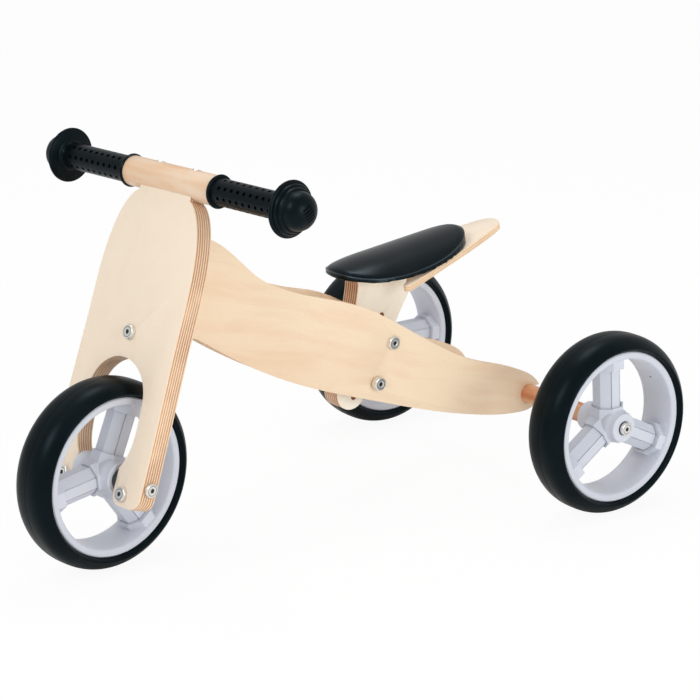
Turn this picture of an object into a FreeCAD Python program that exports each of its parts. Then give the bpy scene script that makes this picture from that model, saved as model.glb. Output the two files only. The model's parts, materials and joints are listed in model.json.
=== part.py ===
import FreeCAD, Part
import math
import os

# Wooden children's tricycle: bent-ply side panels, a plywood fork board with a dowel handlebar,
# a bolt-adjusted seat post with a padded saddle, and three tri-spoke plastic wheels.
# Millimetres. +Z is up, the front faces -Y, +X is the rider's left.
# The origin is on the ground, at the middle of the footprint.

V = FreeCAD.Vector

# ---- driving dimensions ---------------------------------------------------------------------
WHEEL_R = 89.0             # all three wheels are the same
TRACK = 353.4              # between the rear wheels' mid-planes
REAR_Y = 233.3             # rear axle, behind the origin
WHEELBASE = 467.4          # rear axle to front axle, steered straight
PIVOT_AHEAD = 384.0        # upright steering pin, ahead of the rear axle
PARK_STEER = 7.1           # the fork stands turned this many degrees to the left
RUN_GAP = 0.05             # radial clearance of a turning fit
FACE_GAP = 0.3             # clearance between faces of parts that move past each other

# plywood
PANEL_T = 9.0              # moulded side panels
POST_T = 21.0              # seat post and head block
BOARD_T = 18.0             # fork board
TAIL_T = 6.6               # tail board under the saddle

# fork board, measured along the board from the front axle
BOARD_TILT = 19.62         # degrees back from upright
BOARD_TOP = 268.0
BOARD_HALF = 62.0
FOOT_HALF = 65.0           # the feet flare a little
FOOT_DROP = 22.0           # below the axle
ARCH_R = 38.0
ARCH_S = 69.0
FOOT_IN = 28.8             # inner face of a foot beside the hub
PAD_HALF = 11.0            # flat stretch round the axle, on both faces of a foot
CROSS_X = 41.0             # foot cross bolts, on the board's face
CROSS_S = -11.0

# handlebar
BAR_R = 14.0
BAR_S = 272.1              # height of its axis along the board
BAR_END_R = 9.5            # turned-down ends under the grips
NOTCH_HALF = 34.5          # the board's tongue in the bar
NOTCH_S = 257.6
GRIP_START = 58.0
KNOB_START = 149.5

# side panels, plan view: inner face as (ahead of the rear axle, distance from the mid-plane)
PANEL_FRONT_X = POST_T / 2
PANEL_REAR_X = 53.0
BEND_FRONT = 260.0
BEND_REAR = 36.0
BEND_FRONT_R = 300.0
BEND_REAR_R = 200.0

# seat post holes, lowest first, as ahead and height, with the step to the next hole
HOLE_LOW = (180.5, 106.3)
HOLE_STEP = (-8.4, 19.1)
HOLE_COUNT = 5
HOLE_R = 3.2
BOLTED_HOLES = (1, 3)

# saddle: an egg in plan, dished lengthwise, with its underside's middle at this place
SADDLE_AHEAD = 116.7
SADDLE_Z = 226.2
SADDLE_SLOPE = 0.168       # rises to the rear
SADDLE_HALF_L = 79.0
SADDLE_HALF_W = 43.2
SADDLE_DISH_R = 303.0
SADDLE_CROWN_R = 260.0
SADDLE_T = 11.4
SADDLE_BOARD_T = 5.0
TAIL_SLOPE = 0.20
TAIL_MEET = 60.0           # here the tail board's top is at the height below
TAIL_MEET_Z = 240.2

# wheel
TYRE_HALF_W = 27.4
TYRE_EDGE = 26.2
TYRE_WALL_R = 72.8
CROWN_DROP = 15.6          # how much lower the tread would be at the full half width
RIM_HALF_W = 18.7
RIM_LIP_R = 74.3
RIM_LIP_W = 3.2
RIM_BORE_R = 66.3
SEAT_R = 70.5
SPOKE_AF = 26.0            # across the flats of the octagonal spokes
SPOKE_WALL = 2.4
SPOKE_IN = 12.0
SPOKE_OUT = 64.7
SOCKET_AF = 31.0
SOCKET_OUT = 18.5
COLLAR_AF = 32.6
COLLAR_IN = 57.5
HUB_OUT = 24.0             # the hub stands out less on the side with the bolt head
HUB_IN = 27.5
HUB_R = 14.2
HUB_BORE_R = 7.0
CUP_R = 9.9
CUP_DEPTH = 7.0
AXLE_R = 4.0

# wooden rear axle
DOWEL_R = 9.5
DOWEL_HALF = 154.9
SLOT_HALF = 6.5            # slot behind the axle, open to the rear, in both panels

# disc-headed furniture bolts
HEAD_R = 6.75
HEAD_T = 4.0
SEAT_HEAD_T = 6.0
SEAT_HEAD_SUNK = 1.4       # a flat seat for the head in the slanted panel
SOCKET_KEY = 4.0           # hex key across flats
SHANK_R = 3.0

# steering head
HEAD_LOW = 201.5
HEAD_HIGH = 241.0
HEAD_BORE_R = 6.0
BUSH_FLANGE_R = 9.0
BUSH_FLANGE_T = 1.5
BRACKET_T = 3.0
BRACKET_HALF = 14.0
BRACKET_BOLT_S = 130.0

SPOKE_ANGLES = {"front": 66.5, "rear_left": 94.0, "rear_right": 60.0}


# ---- helpers --------------------------------------------------------------------------------
def side(ahead, z, x=0.0):
    """A point from its distance ahead of the rear axle and its height."""
    return V(x, REAR_Y - ahead, z)


def closed(points):
    return Part.Face(Part.makePolygon(points + [points[0]]))


def side_plate(outline, x0, x1):
    """A plate standing in the YZ plane, from an outline of edges or of (ahead, z) points."""
    if isinstance(outline[0], tuple):
        face = closed([side(a, z, x0) for a, z in outline])
    else:
        face = Part.Face(Part.Wire(outline))
    return face.extrude(V(x1 - x0, 0, 0))


def spline(points):
    curve = Part.BSplineCurve()
    curve.interpolate(points)
    return curve.toShape()


def line(a, b):
    return Part.LineSegment(a, b).toShape()


def arc(a, b, c):
    return Part.Arc(a, b, c).toShape()


def spin_x(profile):
    """A solid of revolution about X from (x, r) points."""
    return closed([V(x, 0, r) for x, r in profile]).revolve(V(0, 0, 0), V(1, 0, 0), 360)


def rod(r, start, end):
    axis = end - start
    return Part.makeCylinder(r, axis.Length, start, axis)


def tube(r_out, r_in, start, end):
    return rod(r_out, start, end).cut(rod(r_in, start, end))


def aim(shape, point, direction):
    """Moves a shape built along +X from the origin so that it starts at point."""
    placed = shape.copy()
    placed.Placement = FreeCAD.Placement(point, FreeCAD.Rotation(V(1, 0, 0), direction))
    return placed


def hex_bar(flats, length):
    corner = flats / math.sqrt(3)
    points = [V(0, corner * math.cos(math.radians(60 * i)), corner * math.sin(math.radians(60 * i)))
              for i in range(6)]
    return closed(points).extrude(V(length, 0, 0))


def disc_bolt(shank, head_r=HEAD_R, head_t=HEAD_T, shank_r=SHANK_R):
    """A disc-headed bolt: the head's underside is at the origin and the shank runs along -X."""
    edge = 0.8
    body = spin_x([(-shank, 0), (-shank, shank_r), (0, shank_r), (0, head_r), (head_t - edge, head_r),
                   (head_t, head_r - edge), (head_t, 0)])
    key = hex_bar(min(SOCKET_KEY, head_r * 0.6), head_t)
    key.translate(V(head_t * 0.4, 0, 0))
    return body.cut(key)


def hex_nut(flats, height, hole_r):
    round_r = flats * 0.56
    nut = hex_bar(flats, height).common(spin_x([(0, 0), (0, round_r), (height, round_r), (height, 0)]))
    return nut.cut(rod(hole_r, V(-1, 0, 0), V(height + 1, 0, 0)))


def group(shapes):
    return Part.makeCompound(shapes)


def mirror_x(shape):
    return shape.mirror(V(0, 0, 0), V(1, 0, 0))


def steered(shape):
    turned = shape.copy()
    turned.rotate(side(PIVOT_AHEAD, 0), V(0, 0, 1), PARK_STEER)
    return turned


# ---- fork board frame: x across, s up the board from the front axle, n forward ---------------
TILT = math.radians(BOARD_TILT)
BOARD_UP = V(0, math.sin(TILT), math.cos(TILT))
BOARD_FRONT = V(0, -math.cos(TILT), math.sin(TILT))
FRONT_AXLE = side(WHEELBASE, WHEEL_R)


def on_board(x, s, n=0.0):
    return FRONT_AXLE + V(x, 0, 0) + BOARD_UP * s + BOARD_FRONT * n


def board_back_ahead(z):
    """How far ahead of the rear axle the board's rear face is at a height."""
    return WHEELBASE - (z - WHEEL_R) * math.tan(TILT) - BOARD_T / 2 / math.cos(TILT)


# ---- wheels ---------------------------------------------------------------------------------
def tyre():
    """A foam ring whose crown falls away with the cube of the distance from its middle."""
    stations = [-TYRE_EDGE, -24, -21, -17, -11.5, -5, 0, 5, 11.5, 17, 21, 24, TYRE_EDGE]
    tread = [(x, WHEEL_R - CROWN_DROP * (abs(x) / TYRE_HALF_W) ** 3) for x in stations]
    wall = [(TYRE_HALF_W, TYRE_WALL_R + 1), (TYRE_EDGE, TYRE_WALL_R), (RIM_HALF_W, RIM_LIP_R)]
    seat = RIM_HALF_W - RIM_LIP_W
    inner = [(seat, RIM_LIP_R), (seat, SEAT_R), (-seat, SEAT_R), (-seat, RIM_LIP_R)]
    return spin_x(tread + wall + inner + [(-x, r) for x, r in reversed(wall)])


def octagon_bar(flats, groove, inner, outer, angle):
    """An octagonal bar along a wheel radius, with small grooves beside its outer and inner faces."""
    corner = flats / 2 / math.cos(math.pi / 8)
    sway = groove / corner
    lip = flats / 2 / math.cos(math.pi / 8 - sway)
    points = []
    for k in range(8):
        turn = math.radians(45 * k + 22.5)
        if groove and abs(math.cos(turn)) > 0.9:
            points += [(lip, turn - sway), (corner - groove, turn), (lip, turn + sway)]
        else:
            points.append((corner, turn))
    face = closed([V(r * math.cos(t), r * math.sin(t), inner) for r, t in points])
    bar = face.extrude(V(0, 0, outer - inner))
    bar.rotate(V(0, 0, 0), V(1, 0, 0), angle - 90)
    return bar


def spoke_turns(first):
    return [first + 120 * k for k in range(3)]


def rim(first):
    w, lip = RIM_HALF_W, 1.1
    seat = w - RIM_LIP_W
    half = [(seat, SEAT_R), (seat, RIM_LIP_R), (w - lip, RIM_LIP_R), (w, RIM_LIP_R - lip),
            (w, RIM_BORE_R + 2.2), (w - lip, RIM_BORE_R + 1.0), (w - 4.5, RIM_BORE_R)]
    ring = spin_x(half + [(-x, r) for x, r in reversed(half)])
    limit = rod(RIM_BORE_R + 1.5, V(-w, 0, 0), V(w, 0, 0))
    for turn in spoke_turns(first):
        collar = octagon_bar(COLLAR_AF, 0, COLLAR_IN, SEAT_R, turn).common(limit)
        ring = ring.fuse(collar.cut(octagon_bar(SPOKE_AF, 0, 0, SPOKE_OUT, turn)))
    drain = V(0, math.cos(math.radians(first - 62)), math.sin(math.radians(first - 62)))
    ring = ring.cut(rod(1.5, drain * 60, drain * 72))
    return ring.removeSplitter()


def spokes(first):
    bars = []
    for turn in spoke_turns(first):
        bar = octagon_bar(SPOKE_AF, 0.7, SPOKE_IN, SPOKE_OUT, turn)
        core = octagon_bar(SPOKE_AF - 2 * SPOKE_WALL, 0, SPOKE_IN, SPOKE_OUT, turn)
        bars.append(bar.cut(core))
    return group(bars)


def hub(first):
    throat = [(-HUB_IN, 0), (-HUB_IN, HUB_R - 0.8), (-HUB_IN + 0.8, HUB_R), (-20.0, HUB_R),
              (-14.0, HUB_R + 2.5), (14.0, HUB_R + 2.5), (19.0, HUB_R), (HUB_OUT - 0.8, HUB_R),
              (HUB_OUT, HUB_R - 0.8), (HUB_OUT, 0)]
    body = spin_x(throat)
    for turn in spoke_turns(first):
        body = body.fuse(octagon_bar(SOCKET_AF, 0, 0, SOCKET_OUT, turn))
    for turn in spoke_turns(first):
        body = body.cut(octagon_bar(SPOKE_AF, 0, SPOKE_IN, SOCKET_OUT + 1, turn))
    bore = rod(HUB_BORE_R, V(-HUB_IN - 1, 0, 0), V(HUB_OUT + 1, 0, 0))
    cup = rod(CUP_R, V(-HUB_IN - 1, 0, 0), V(-HUB_IN + CUP_DEPTH, 0, 0))
    return body.cut(bore).cut(cup).removeSplitter()


def hub_bushes():
    inner_r = AXLE_R + RUN_GAP
    outward = tube(HUB_BORE_R, inner_r, V(6, 0, 0), V(HUB_OUT - 0.4, 0, 0))
    inward = tube(HUB_BORE_R, inner_r, V(-HUB_IN + CUP_DEPTH, 0, 0), V(-6, 0, 0))
    return group([outward, inward])


def wheel(name, place):
    """Four rigid parts and two bushes; place moves them from the wheel's own centre."""
    first = SPOKE_ANGLES[name]
    parts = {"tyre": tyre(), "rim": rim(first), "spokes": spokes(first), "hub": hub(first),
             "hub_bushes": hub_bushes()}
    return {f"{name}_{part}": place(shape) for part, shape in parts.items()}


def place_front(shape):
    moved = shape.copy()
    moved.translate(FRONT_AXLE)
    return steered(moved)


def place_rear_left(shape):
    moved = shape.copy()
    moved.translate(V(TRACK / 2, REAR_Y, WHEEL_R))
    return moved


def place_rear_right(shape):
    """The same moulding turned end for end, so that its cup faces the axle."""
    moved = shape.copy()
    moved.rotate(V(0, 0, 0), V(0, 0, 1), 180)
    moved.translate(V(-TRACK / 2, REAR_Y, WHEEL_R))
    return moved


# ---- side panels ----------------------------------------------------------------------------
def panel_plan_edges(offset):
    """The moulded curve in plan: straight, bent outward, straight, bent back; offset outward."""
    rise, run = PANEL_REAR_X - PANEL_FRONT_X, BEND_FRONT - BEND_REAR
    lean = math.atan2(rise, run)

    def at(ahead, x, turn):
        """A point pushed outward by the offset, along the normal of a surface turned by turn."""
        return V(x + offset * math.cos(turn), REAR_Y - ahead - offset * math.sin(turn), 0)

    def bend(ahead, x, radius, turn_in, turn_out, side_sign):
        reach = radius * math.tan(abs(turn_out - turn_in) / 2)
        centre_ahead = ahead + reach * math.cos(turn_in)
        start_x = x - reach * math.sin(turn_in)
        cx = start_x + side_sign * radius * math.cos(turn_in)
        cy = REAR_Y - centre_ahead - side_sign * radius * math.sin(turn_in)
        r = radius - side_sign * offset
        ends = []
        for turn in (turn_in, (turn_in + turn_out) / 2, turn_out):
            ends.append(V(cx - side_sign * r * math.cos(turn), cy + side_sign * r * math.sin(turn), 0))
        return ends

    first = bend(BEND_FRONT, PANEL_FRONT_X, BEND_FRONT_R, 0.0, lean, 1)
    second = bend(BEND_REAR, PANEL_REAR_X, BEND_REAR_R, lean, 0.0, -1)
    start, end = at(420, PANEL_FRONT_X, 0.0), at(-40, PANEL_REAR_X, 0.0)
    return start, end, [line(start, first[0]), arc(*first), line(first[2], second[0]), arc(*second),
                        line(second[2], end)]


def panel_blank():
    start_in, end_in, inner = panel_plan_edges(0.0)
    start_out, end_out, outer = panel_plan_edges(PANEL_T)
    edges = inner + outer + [line(start_in, start_out), line(end_in, end_out)]
    face = Part.Face(Part.Wire(Part.__sortEdges__(edges)))
    face.translate(V(0, 0, 40))
    return face.extrude(V(0, 0, 290))


def panel_outline():
    top = [(349, 289.5), (331, 276.2), (313.5, 259.6), (295.5, 244.3), (278, 234.6), (258, 226), (229, 216.4),
           (192.5, 205), (157, 186.2), (110.5, 156.6), (80, 139.5), (51, 128.6), (32, 123), (13.5, 116.2),
           (2, 110.8), (-6, 105.4), (-14.4, 96)]
    low = [(-14.4, 82), (-4, 72.9), (12, 71.4), (46, 74.6), (106, 87), (178, 108.6), (240, 129.5), (290, 152),
           (332, 176), (368, 199.5)]
    top_edge = spline([side(*p) for p in top])
    low_edge = spline([side(*p) for p in low])
    tip = arc(side(*top[-1]), side(-15.2, 89), side(*low[0]))
    front = [side(*low[-1]), side(374, HEAD_LOW), side(392, HEAD_LOW), side(388, HEAD_HIGH),
             side(366, HEAD_HIGH), side(366, 286), side(359, 293), side(*top[0])]
    edges = [top_edge, tip, low_edge] + [line(a, b) for a, b in zip(front, front[1:])]
    return Part.__sortEdges__(edges)


def hole_at(k):
    return HOLE_LOW[0] + k * HOLE_STEP[0], HOLE_LOW[1] + k * HOLE_STEP[1]


def seat_head_x():
    """Where the seat bolts' head undersides sit, sunk into the slanted panel."""
    ahead = hole_at(2)[0]
    lean = math.atan2(PANEL_REAR_X - PANEL_FRONT_X, BEND_FRONT - BEND_REAR)
    inner = PANEL_FRONT_X + (BEND_FRONT - ahead) * math.tan(lean)
    return inner + PANEL_T / math.cos(lean) - SEAT_HEAD_SUNK


def left_panel():
    panel = panel_blank().common(side_plate(panel_outline(), 0, 100))
    head_x = seat_head_x()
    for k in BOLTED_HOLES:
        ahead, z = hole_at(k)
        panel = panel.cut(rod(SHANK_R, side(ahead, z, 0), side(ahead, z, 90)))
        panel = panel.cut(rod(HEAD_R, side(ahead, z, head_x), side(ahead, z, 90)))
    slot = Part.makeBox(90, 40, 2 * SLOT_HALF, side(0, WHEEL_R - SLOT_HALF, 0))
    return panel.cut(slot).cut(rod(DOWEL_R, side(0, WHEEL_R, 0), side(0, WHEEL_R, 90)))


# ---- steering head of the frame --------------------------------------------------------------
def head_block():
    outline = [(396, HEAD_LOW), (396, HEAD_HIGH), (366, HEAD_HIGH), (364, 283), (348, 283), (318, 258),
               (304, 246), (304, 166), (334, 182.5), (364, HEAD_LOW)]
    block = side_plate(outline, -POST_T / 2, POST_T / 2)
    return block.cut(rod(HEAD_BORE_R, side(PIVOT_AHEAD, HEAD_LOW - 1), side(PIVOT_AHEAD, HEAD_HIGH + 1)))


def head_bushes():
    inner_r = AXLE_R + RUN_GAP
    bushes = []
    for face, way in ((HEAD_LOW, -1), (HEAD_HIGH, 1)):
        flange_end = side(PIVOT_AHEAD, face + way * BUSH_FLANGE_T)
        flange = rod(BUSH_FLANGE_R, side(PIVOT_AHEAD, face), flange_end)
        sleeve = rod(HEAD_BORE_R, side(PIVOT_AHEAD, face), side(PIVOT_AHEAD, face - way * 15))
        bushes.append(flange.fuse(sleeve).removeSplitter().cut(
            rod(inner_r, side(PIVOT_AHEAD, face - 20), side(PIVOT_AHEAD, face + 20))))
    return group(bushes)


def head_dowels():
    """Two beech dowels across the head block, blind in both panels."""
    reach = POST_T / 2 + 6
    return group([rod(4, side(a, z, -reach), side(a, z, reach)) for a, z in ((340, 250), (325, 205))])


# ---- seat post, tail board, saddle ------------------------------------------------------------
def seat_frame():
    """The saddle's own frame: X across, Y towards the rear, Z square to the saddle."""
    lean = math.degrees(math.atan(SADDLE_SLOPE))
    return FreeCAD.Placement(side(SADDLE_AHEAD, SADDLE_Z), FreeCAD.Rotation(V(1, 0, 0), lean))


def seat_point(along, across, up):
    return seat_frame().multVec(V(across, -along, up))


def egg_prism(scale):
    count = 12
    points = []
    for k in range(count):
        c, sn = math.cos(2 * math.pi * k / count), math.sin(2 * math.pi * k / count)
        fullness = 1 + 0.09 * c + 0.20 * c ** 2 + 0.07 * c ** 3
        points.append(V(SADDLE_HALF_W * scale * sn * fullness, -SADDLE_HALF_L * scale * c, -5))
    curve = Part.BSplineCurve()
    curve.interpolate(points, PeriodicFlag=True)
    return Part.Face(Part.Wire(curve.toShape())).extrude(V(0, 0, 40))


def dished_slab(low, high, crown_r):
    """A slab bent about an axis across the saddle, above it; its top falls away to both sides."""
    reach = 60.0
    drop = reach ** 2 / (2 * crown_r) if crown_r else 0.0
    bottom, top = SADDLE_DISH_R - low, SADDLE_DISH_R - high
    corners = [V(-reach, 0, -bottom), V(reach, 0, -bottom), V(reach, 0, -top - drop),
               V(-reach, 0, -top - drop)]
    roof = arc(corners[2], V(0, 0, -top), corners[3]) if drop else line(corners[2], corners[3])
    edges = [line(corners[3], corners[0]), line(corners[0], corners[1]), line(corners[1], corners[2]), roof]
    face = Part.Face(Part.Wire(edges))
    face.rotate(V(0, 0, 0), V(1, 0, 0), -30)
    slab = face.revolve(V(0, 0, 0), V(1, 0, 0), 60)
    slab.translate(V(0, 0, SADDLE_DISH_R))
    return slab


def in_seat(shape):
    shape.Placement = seat_frame()
    return shape


def saddle_body():
    body = egg_prism(1.0).common(dished_slab(0, SADDLE_T, SADDLE_CROWN_R))
    rim_edges = [e for e in body.Edges if e.Length > 200 and e.CenterOfMass.z > 6]
    return in_seat(body.makeFillet(4.0, rim_edges))


def saddle_board():
    """The ply board inside the cover, flush with the saddle's underside."""
    return in_seat(egg_prism(0.88).common(dished_slab(0, SADDLE_BOARD_T, 0)))


def tail_z(ahead):
    return TAIL_MEET_Z + (TAIL_MEET - ahead) * TAIL_SLOPE


def seat_post():
    lobe = (183.5, 111.0, 17.0)
    high_front, high_rear = (174.8, 228), (93.5, 236)
    front = spline([side(*high_front), side(178, 200), side(188, 160), side(200.3, 113)])
    foot = arc(side(200.3, 113), side(lobe[0] + 1.5, lobe[1] - lobe[2]), side(167.2, 106))
    rear = spline([side(167.2, 106), side(150, 138), side(130, 173), side(114, 200), side(*high_rear)])
    top = line(side(*high_rear), side(*high_front))
    face = Part.Face(Part.Wire(Part.__sortEdges__([front, foot, rear, top])))
    face.translate(V(-POST_T / 2, 0, 0))
    post = face.extrude(V(POST_T, 0, 0))
    for k in range(HOLE_COUNT):
        ahead, z = hole_at(k)
        radius = SHANK_R if k in BOLTED_HOLES else HOLE_R
        post = post.cut(rod(radius, side(ahead, z, -20), side(ahead, z, 20)))
    return post


def seat_spacers(panels):
    """Nylon barrels on the seat bolts, between the post and the spread panels."""
    barrels = []
    for k in BOLTED_HOLES:
        ahead, z = hole_at(k)
        for way in (-1, 1):
            barrel = tube(8, SHANK_R, side(ahead, z, way * POST_T / 2), side(ahead, z, way * 36))
            barrel = barrel.cut(panels[0]).cut(panels[1])
            barrels.append(min(barrel.Solids, key=lambda s: abs(s.CenterOfMass.x)))
    return group(barrels)


def seat_bolts():
    head_x = seat_head_x()
    bolts = []
    for k in BOLTED_HOLES:
        ahead, z = hole_at(k)
        bolts.append(aim(disc_bolt(head_x + 2, head_t=SEAT_HEAD_T), side(ahead, z, head_x), V(1, 0, 0)))
    return group(bolts)


def seat_sleeve_nuts():
    """Disc-headed sleeve nuts on the other side, meeting the bolts past the mid-plane."""
    head_x = seat_head_x()
    nuts = []
    for k in BOLTED_HOLES:
        ahead, z = hole_at(k)
        nuts.append(aim(disc_bolt(head_x - 2, head_t=SEAT_HEAD_T), side(ahead, z, -head_x), V(-1, 0, 0)))
    return group(nuts)


def seat_dowels():
    """Dowels that join the post's top edge to the saddle board."""
    low, high = -22.0, 4.0
    return group([rod(4, seat_point(along, 0, low), seat_point(along, 0, high)) for along in (42, 0)])


def tail_board(post):
    """A tapering ply tongue that straddles the back of the post and runs on behind the saddle."""
    front, nose = 142.0, -8.5

    def top(ahead, x):
        return side(ahead, tail_z(ahead), x)

    corner, waist = (front - 1, 37.5), (20, 18.5)
    edges = []
    for way in (1, -1):
        edges.append(line(top(corner[0], way * corner[1]), top(waist[0], way * waist[1])))
        edges.append(arc(top(corner[0], way * corner[1]), top(front + 3.5, way * 34),
                         top(front - 2, way * 29.5)))
        edges.append(spline([top(front - 2, way * 29.5), top(124, way * 19), top(114, way * 10.5)]))
    edges.append(spline([top(20, 18.5), top(4, 15.5), top(-5.5, 8.5), top(nose, 0), top(-5.5, -8.5),
                         top(4, -15.5), top(20, -18.5)]))
    edges.append(line(top(114, 10.5), top(114, -10.5)))
    face = Part.Face(Part.Wire(Part.__sortEdges__(edges)))
    down = V(0, math.sin(math.atan(TAIL_SLOPE)), -math.cos(math.atan(TAIL_SLOPE)))
    return face.extrude(down * TAIL_T).cut(post)


def tail_screws():
    """Two screws from below, through the tail board into the saddle board."""
    lean = math.atan(TAIL_SLOPE)
    down = V(0, math.sin(lean), -math.cos(lean))
    screws = []
    for x in (-18, 18):
        start = side(72, tail_z(72), x) + down * TAIL_T
        screws.append(aim(disc_bolt(TAIL_T + 6, 4.2, 2.0, 2.0), start, down))
    return group(screws)


# ---- rear axle --------------------------------------------------------------------------------
def rear_axle_beam():
    beam = rod(DOWEL_R, side(0, WHEEL_R, -DOWEL_HALF), side(0, WHEEL_R, DOWEL_HALF))
    for way in (-1, 1):
        beam = beam.cut(rod(AXLE_R, side(0, WHEEL_R, way * (DOWEL_HALF - 45)), side(0, WHEEL_R, way * 170)))
    return beam


def rear_axle_bolts():
    head_x = TRACK / 2 + HUB_OUT + FACE_GAP
    bolts = []
    for way in (-1, 1):
        bolt = disc_bolt(head_x - DOWEL_HALF + 40, 6.3, HEAD_T, AXLE_R)
        bolts.append(aim(bolt, side(0, WHEEL_R, way * head_x), V(way, 0, 0)))
    return group(bolts)


def rear_thrust_washers():
    washers = []
    for way in (-1, 1):
        start = side(0, WHEEL_R, way * DOWEL_HALF)
        washers.append(tube(9.5, AXLE_R, start, start + V(way, 0, 0)))
    return group(washers)


# ---- fork ---------------------------------------------------------------------------------------
def fork_board():
    def p(x, s):
        return on_board(x, s, -BOARD_T / 2)

    edges = [arc(p(-ARCH_R, ARCH_S), p(0, ARCH_S + ARCH_R), p(ARCH_R, ARCH_S)),
             line(p(-NOTCH_HALF, BOARD_TOP), p(NOTCH_HALF, BOARD_TOP))]
    for way in (1, -1):
        inner = [(ARCH_R, ARCH_S), (39.2, 52), (38, 32), (33.6, 18.5), (FOOT_IN, PAD_HALF)]
        edges.append(spline([p(way * x, s) for x, s in inner]))
        edges.append(line(p(way * FOOT_IN, PAD_HALF), p(way * FOOT_IN, -PAD_HALF)))
        edges.append(arc(p(way * FOOT_IN, -PAD_HALF), p(way * 32, -19), p(way * 40, -FOOT_DROP)))
        edges.append(line(p(way * 40, -FOOT_DROP), p(way * 53, -FOOT_DROP)))
        edges.append(arc(p(way * 53, -FOOT_DROP), p(way * 61.6, -18), p(way * FOOT_HALF, -PAD_HALF)))
        edges.append(line(p(way * FOOT_HALF, -PAD_HALF), p(way * FOOT_HALF, PAD_HALF)))
        outer = [(FOOT_HALF, PAD_HALF), (BOARD_HALF + 2, 50), (BOARD_HALF + 0.6, 100), (BOARD_HALF, 150),
                 (BOARD_HALF - 0.5, 185), (57.5, 217), (50, 240), (42, 252), (NOTCH_HALF, NOTCH_S)]
        edges.append(spline([p(way * x, s) for x, s in outer]))
        edges.append(line(p(way * NOTCH_HALF, NOTCH_S), p(way * NOTCH_HALF, BOARD_TOP)))
    board = Part.Face(Part.Wire(Part.__sortEdges__(edges))).extrude(BOARD_FRONT * BOARD_T)
    cuts = [rod(SHANK_R, on_board(0, BRACKET_BOLT_S, -20), on_board(0, BRACKET_BOLT_S, 20))]
    for x in (-1, 1):
        cuts.append(rod(AXLE_R, on_board(x * 20, 0), on_board(x * 60, 0)))
        cuts.append(rod(SHANK_R, on_board(x * 55, 0), on_board(x * 75, 0)))
        cuts.append(rod(SHANK_R, on_board(x * CROSS_X, CROSS_S, -20), on_board(x * CROSS_X, CROSS_S, 20)))
    for cut in cuts:
        board = board.cut(cut)
    return board


def handlebar():
    bar = spin_x([(-164, 0), (-164, BAR_END_R), (-GRIP_START, BAR_END_R), (-GRIP_START, BAR_R),
                  (GRIP_START, BAR_R), (GRIP_START, BAR_END_R), (164, BAR_END_R), (164, 0)])
    bar.rotate(V(0, 0, 0), V(1, 0, 0), BOARD_TILT * -1)
    bar.translate(on_board(0, BAR_S))
    low_s = BAR_S - 20
    low = on_board(-NOTCH_HALF - 1, low_s, -BOARD_T / 2)
    across, through = V(2 * NOTCH_HALF + 2, 0, 0), BOARD_FRONT * BOARD_T
    slot = closed([low, low + across, low + across + through, low + through])
    bar = bar.cut(slot.extrude(BOARD_UP * (BOARD_TOP - low_s)))
    for x in (-24.5, 24.5):
        bar = bar.cut(rod(2.2, on_board(x, BOARD_TOP - 1), on_board(x, BAR_S + 20)))
        bar = bar.cut(rod(4.6, on_board(x, BAR_S + BAR_R - 2.4), on_board(x, BAR_S + 20)))
    return bar


def handlebar_screws():
    screws = []
    for x in (-24.5, 24.5):
        seat = on_board(x, BAR_S + BAR_R - 2.4)
        screws.append(aim(disc_bolt(BAR_S + BAR_R - 2.4 - BOARD_TOP + 28, 4.6, 2.0, 2.2), seat, BOARD_UP))
    return group(screws)


def grip():
    """A rubber grip with a stepped guard and a domed end, along +X from the bar's middle."""
    dome_r, dome_start, dome_h = 17.5, 162.0, 14.0
    steps = [(GRIP_START, BAR_END_R), (GRIP_START, 15.0), (GRIP_START + 0.8, 15.6), (GRIP_START + 3.2, 15.6),
             (GRIP_START + 4.2, 12.5), (KNOB_START - 2.0, 12.5), (KNOB_START, 15.0), (KNOB_START, 25.0),
             (KNOB_START + 0.8, 25.8), (KNOB_START + 3.8, 25.8), (KNOB_START + 4.6, 25.0),
             (KNOB_START + 4.6, 22.8), (KNOB_START + 8.6, 22.8), (KNOB_START + 8.6, 20.2), (dome_start, 20.2),
             (dome_start, dome_r)]
    dome = []
    for k in range(1, 7):
        turn = math.radians(15 * k)
        dome.append((dome_start + dome_h * math.sin(turn), dome_r * math.cos(turn)))
    dome[-1] = (dome_start + dome_h, 0.0)
    return spin_x(steps + dome + [(164, 0), (164, BAR_END_R)])


def place_grip(way):
    shape = grip() if way > 0 else mirror_x(grip())
    shape.rotate(V(0, 0, 0), V(1, 0, 0), BOARD_TILT * -1)
    shape.translate(on_board(0, BAR_S))
    return shape


def steering_bracket():
    """A bent steel strap behind the board, with a tab above and below the head block."""
    low, high = HEAD_LOW - BUSH_FLANGE_T - FACE_GAP, HEAD_HIGH + BUSH_FLANGE_T + FACE_GAP
    slant = BRACKET_T / math.cos(TILT)
    end = PIVOT_AHEAD - BRACKET_HALF
    outline = [(board_back_ahead(low - BRACKET_T), low - BRACKET_T), (end, low - BRACKET_T), (end, low),
               (board_back_ahead(low) - slant, low), (board_back_ahead(high) - slant, high), (end, high),
               (end, high + BRACKET_T), (board_back_ahead(high + BRACKET_T), high + BRACKET_T)]
    strap = side_plate(outline, -BRACKET_HALF, BRACKET_HALF)
    column = Part.makeBox(2 * BRACKET_HALF, 60, 80, side(PIVOT_AHEAD + 60, 180, -BRACKET_HALF))
    column = column.fuse(rod(BRACKET_HALF, side(PIVOT_AHEAD, 180), side(PIVOT_AHEAD, 260)))
    strap = strap.common(column)
    strap = strap.cut(rod(AXLE_R, side(PIVOT_AHEAD, 180), side(PIVOT_AHEAD, 260)))
    strap = strap.cut(rod(SHANK_R, on_board(0, BRACKET_BOLT_S, -20), on_board(0, BRACKET_BOLT_S, 0)))
    for screw in countersunk_screws():
        strap = strap.cut(screw)
    return strap.removeSplitter()


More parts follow.
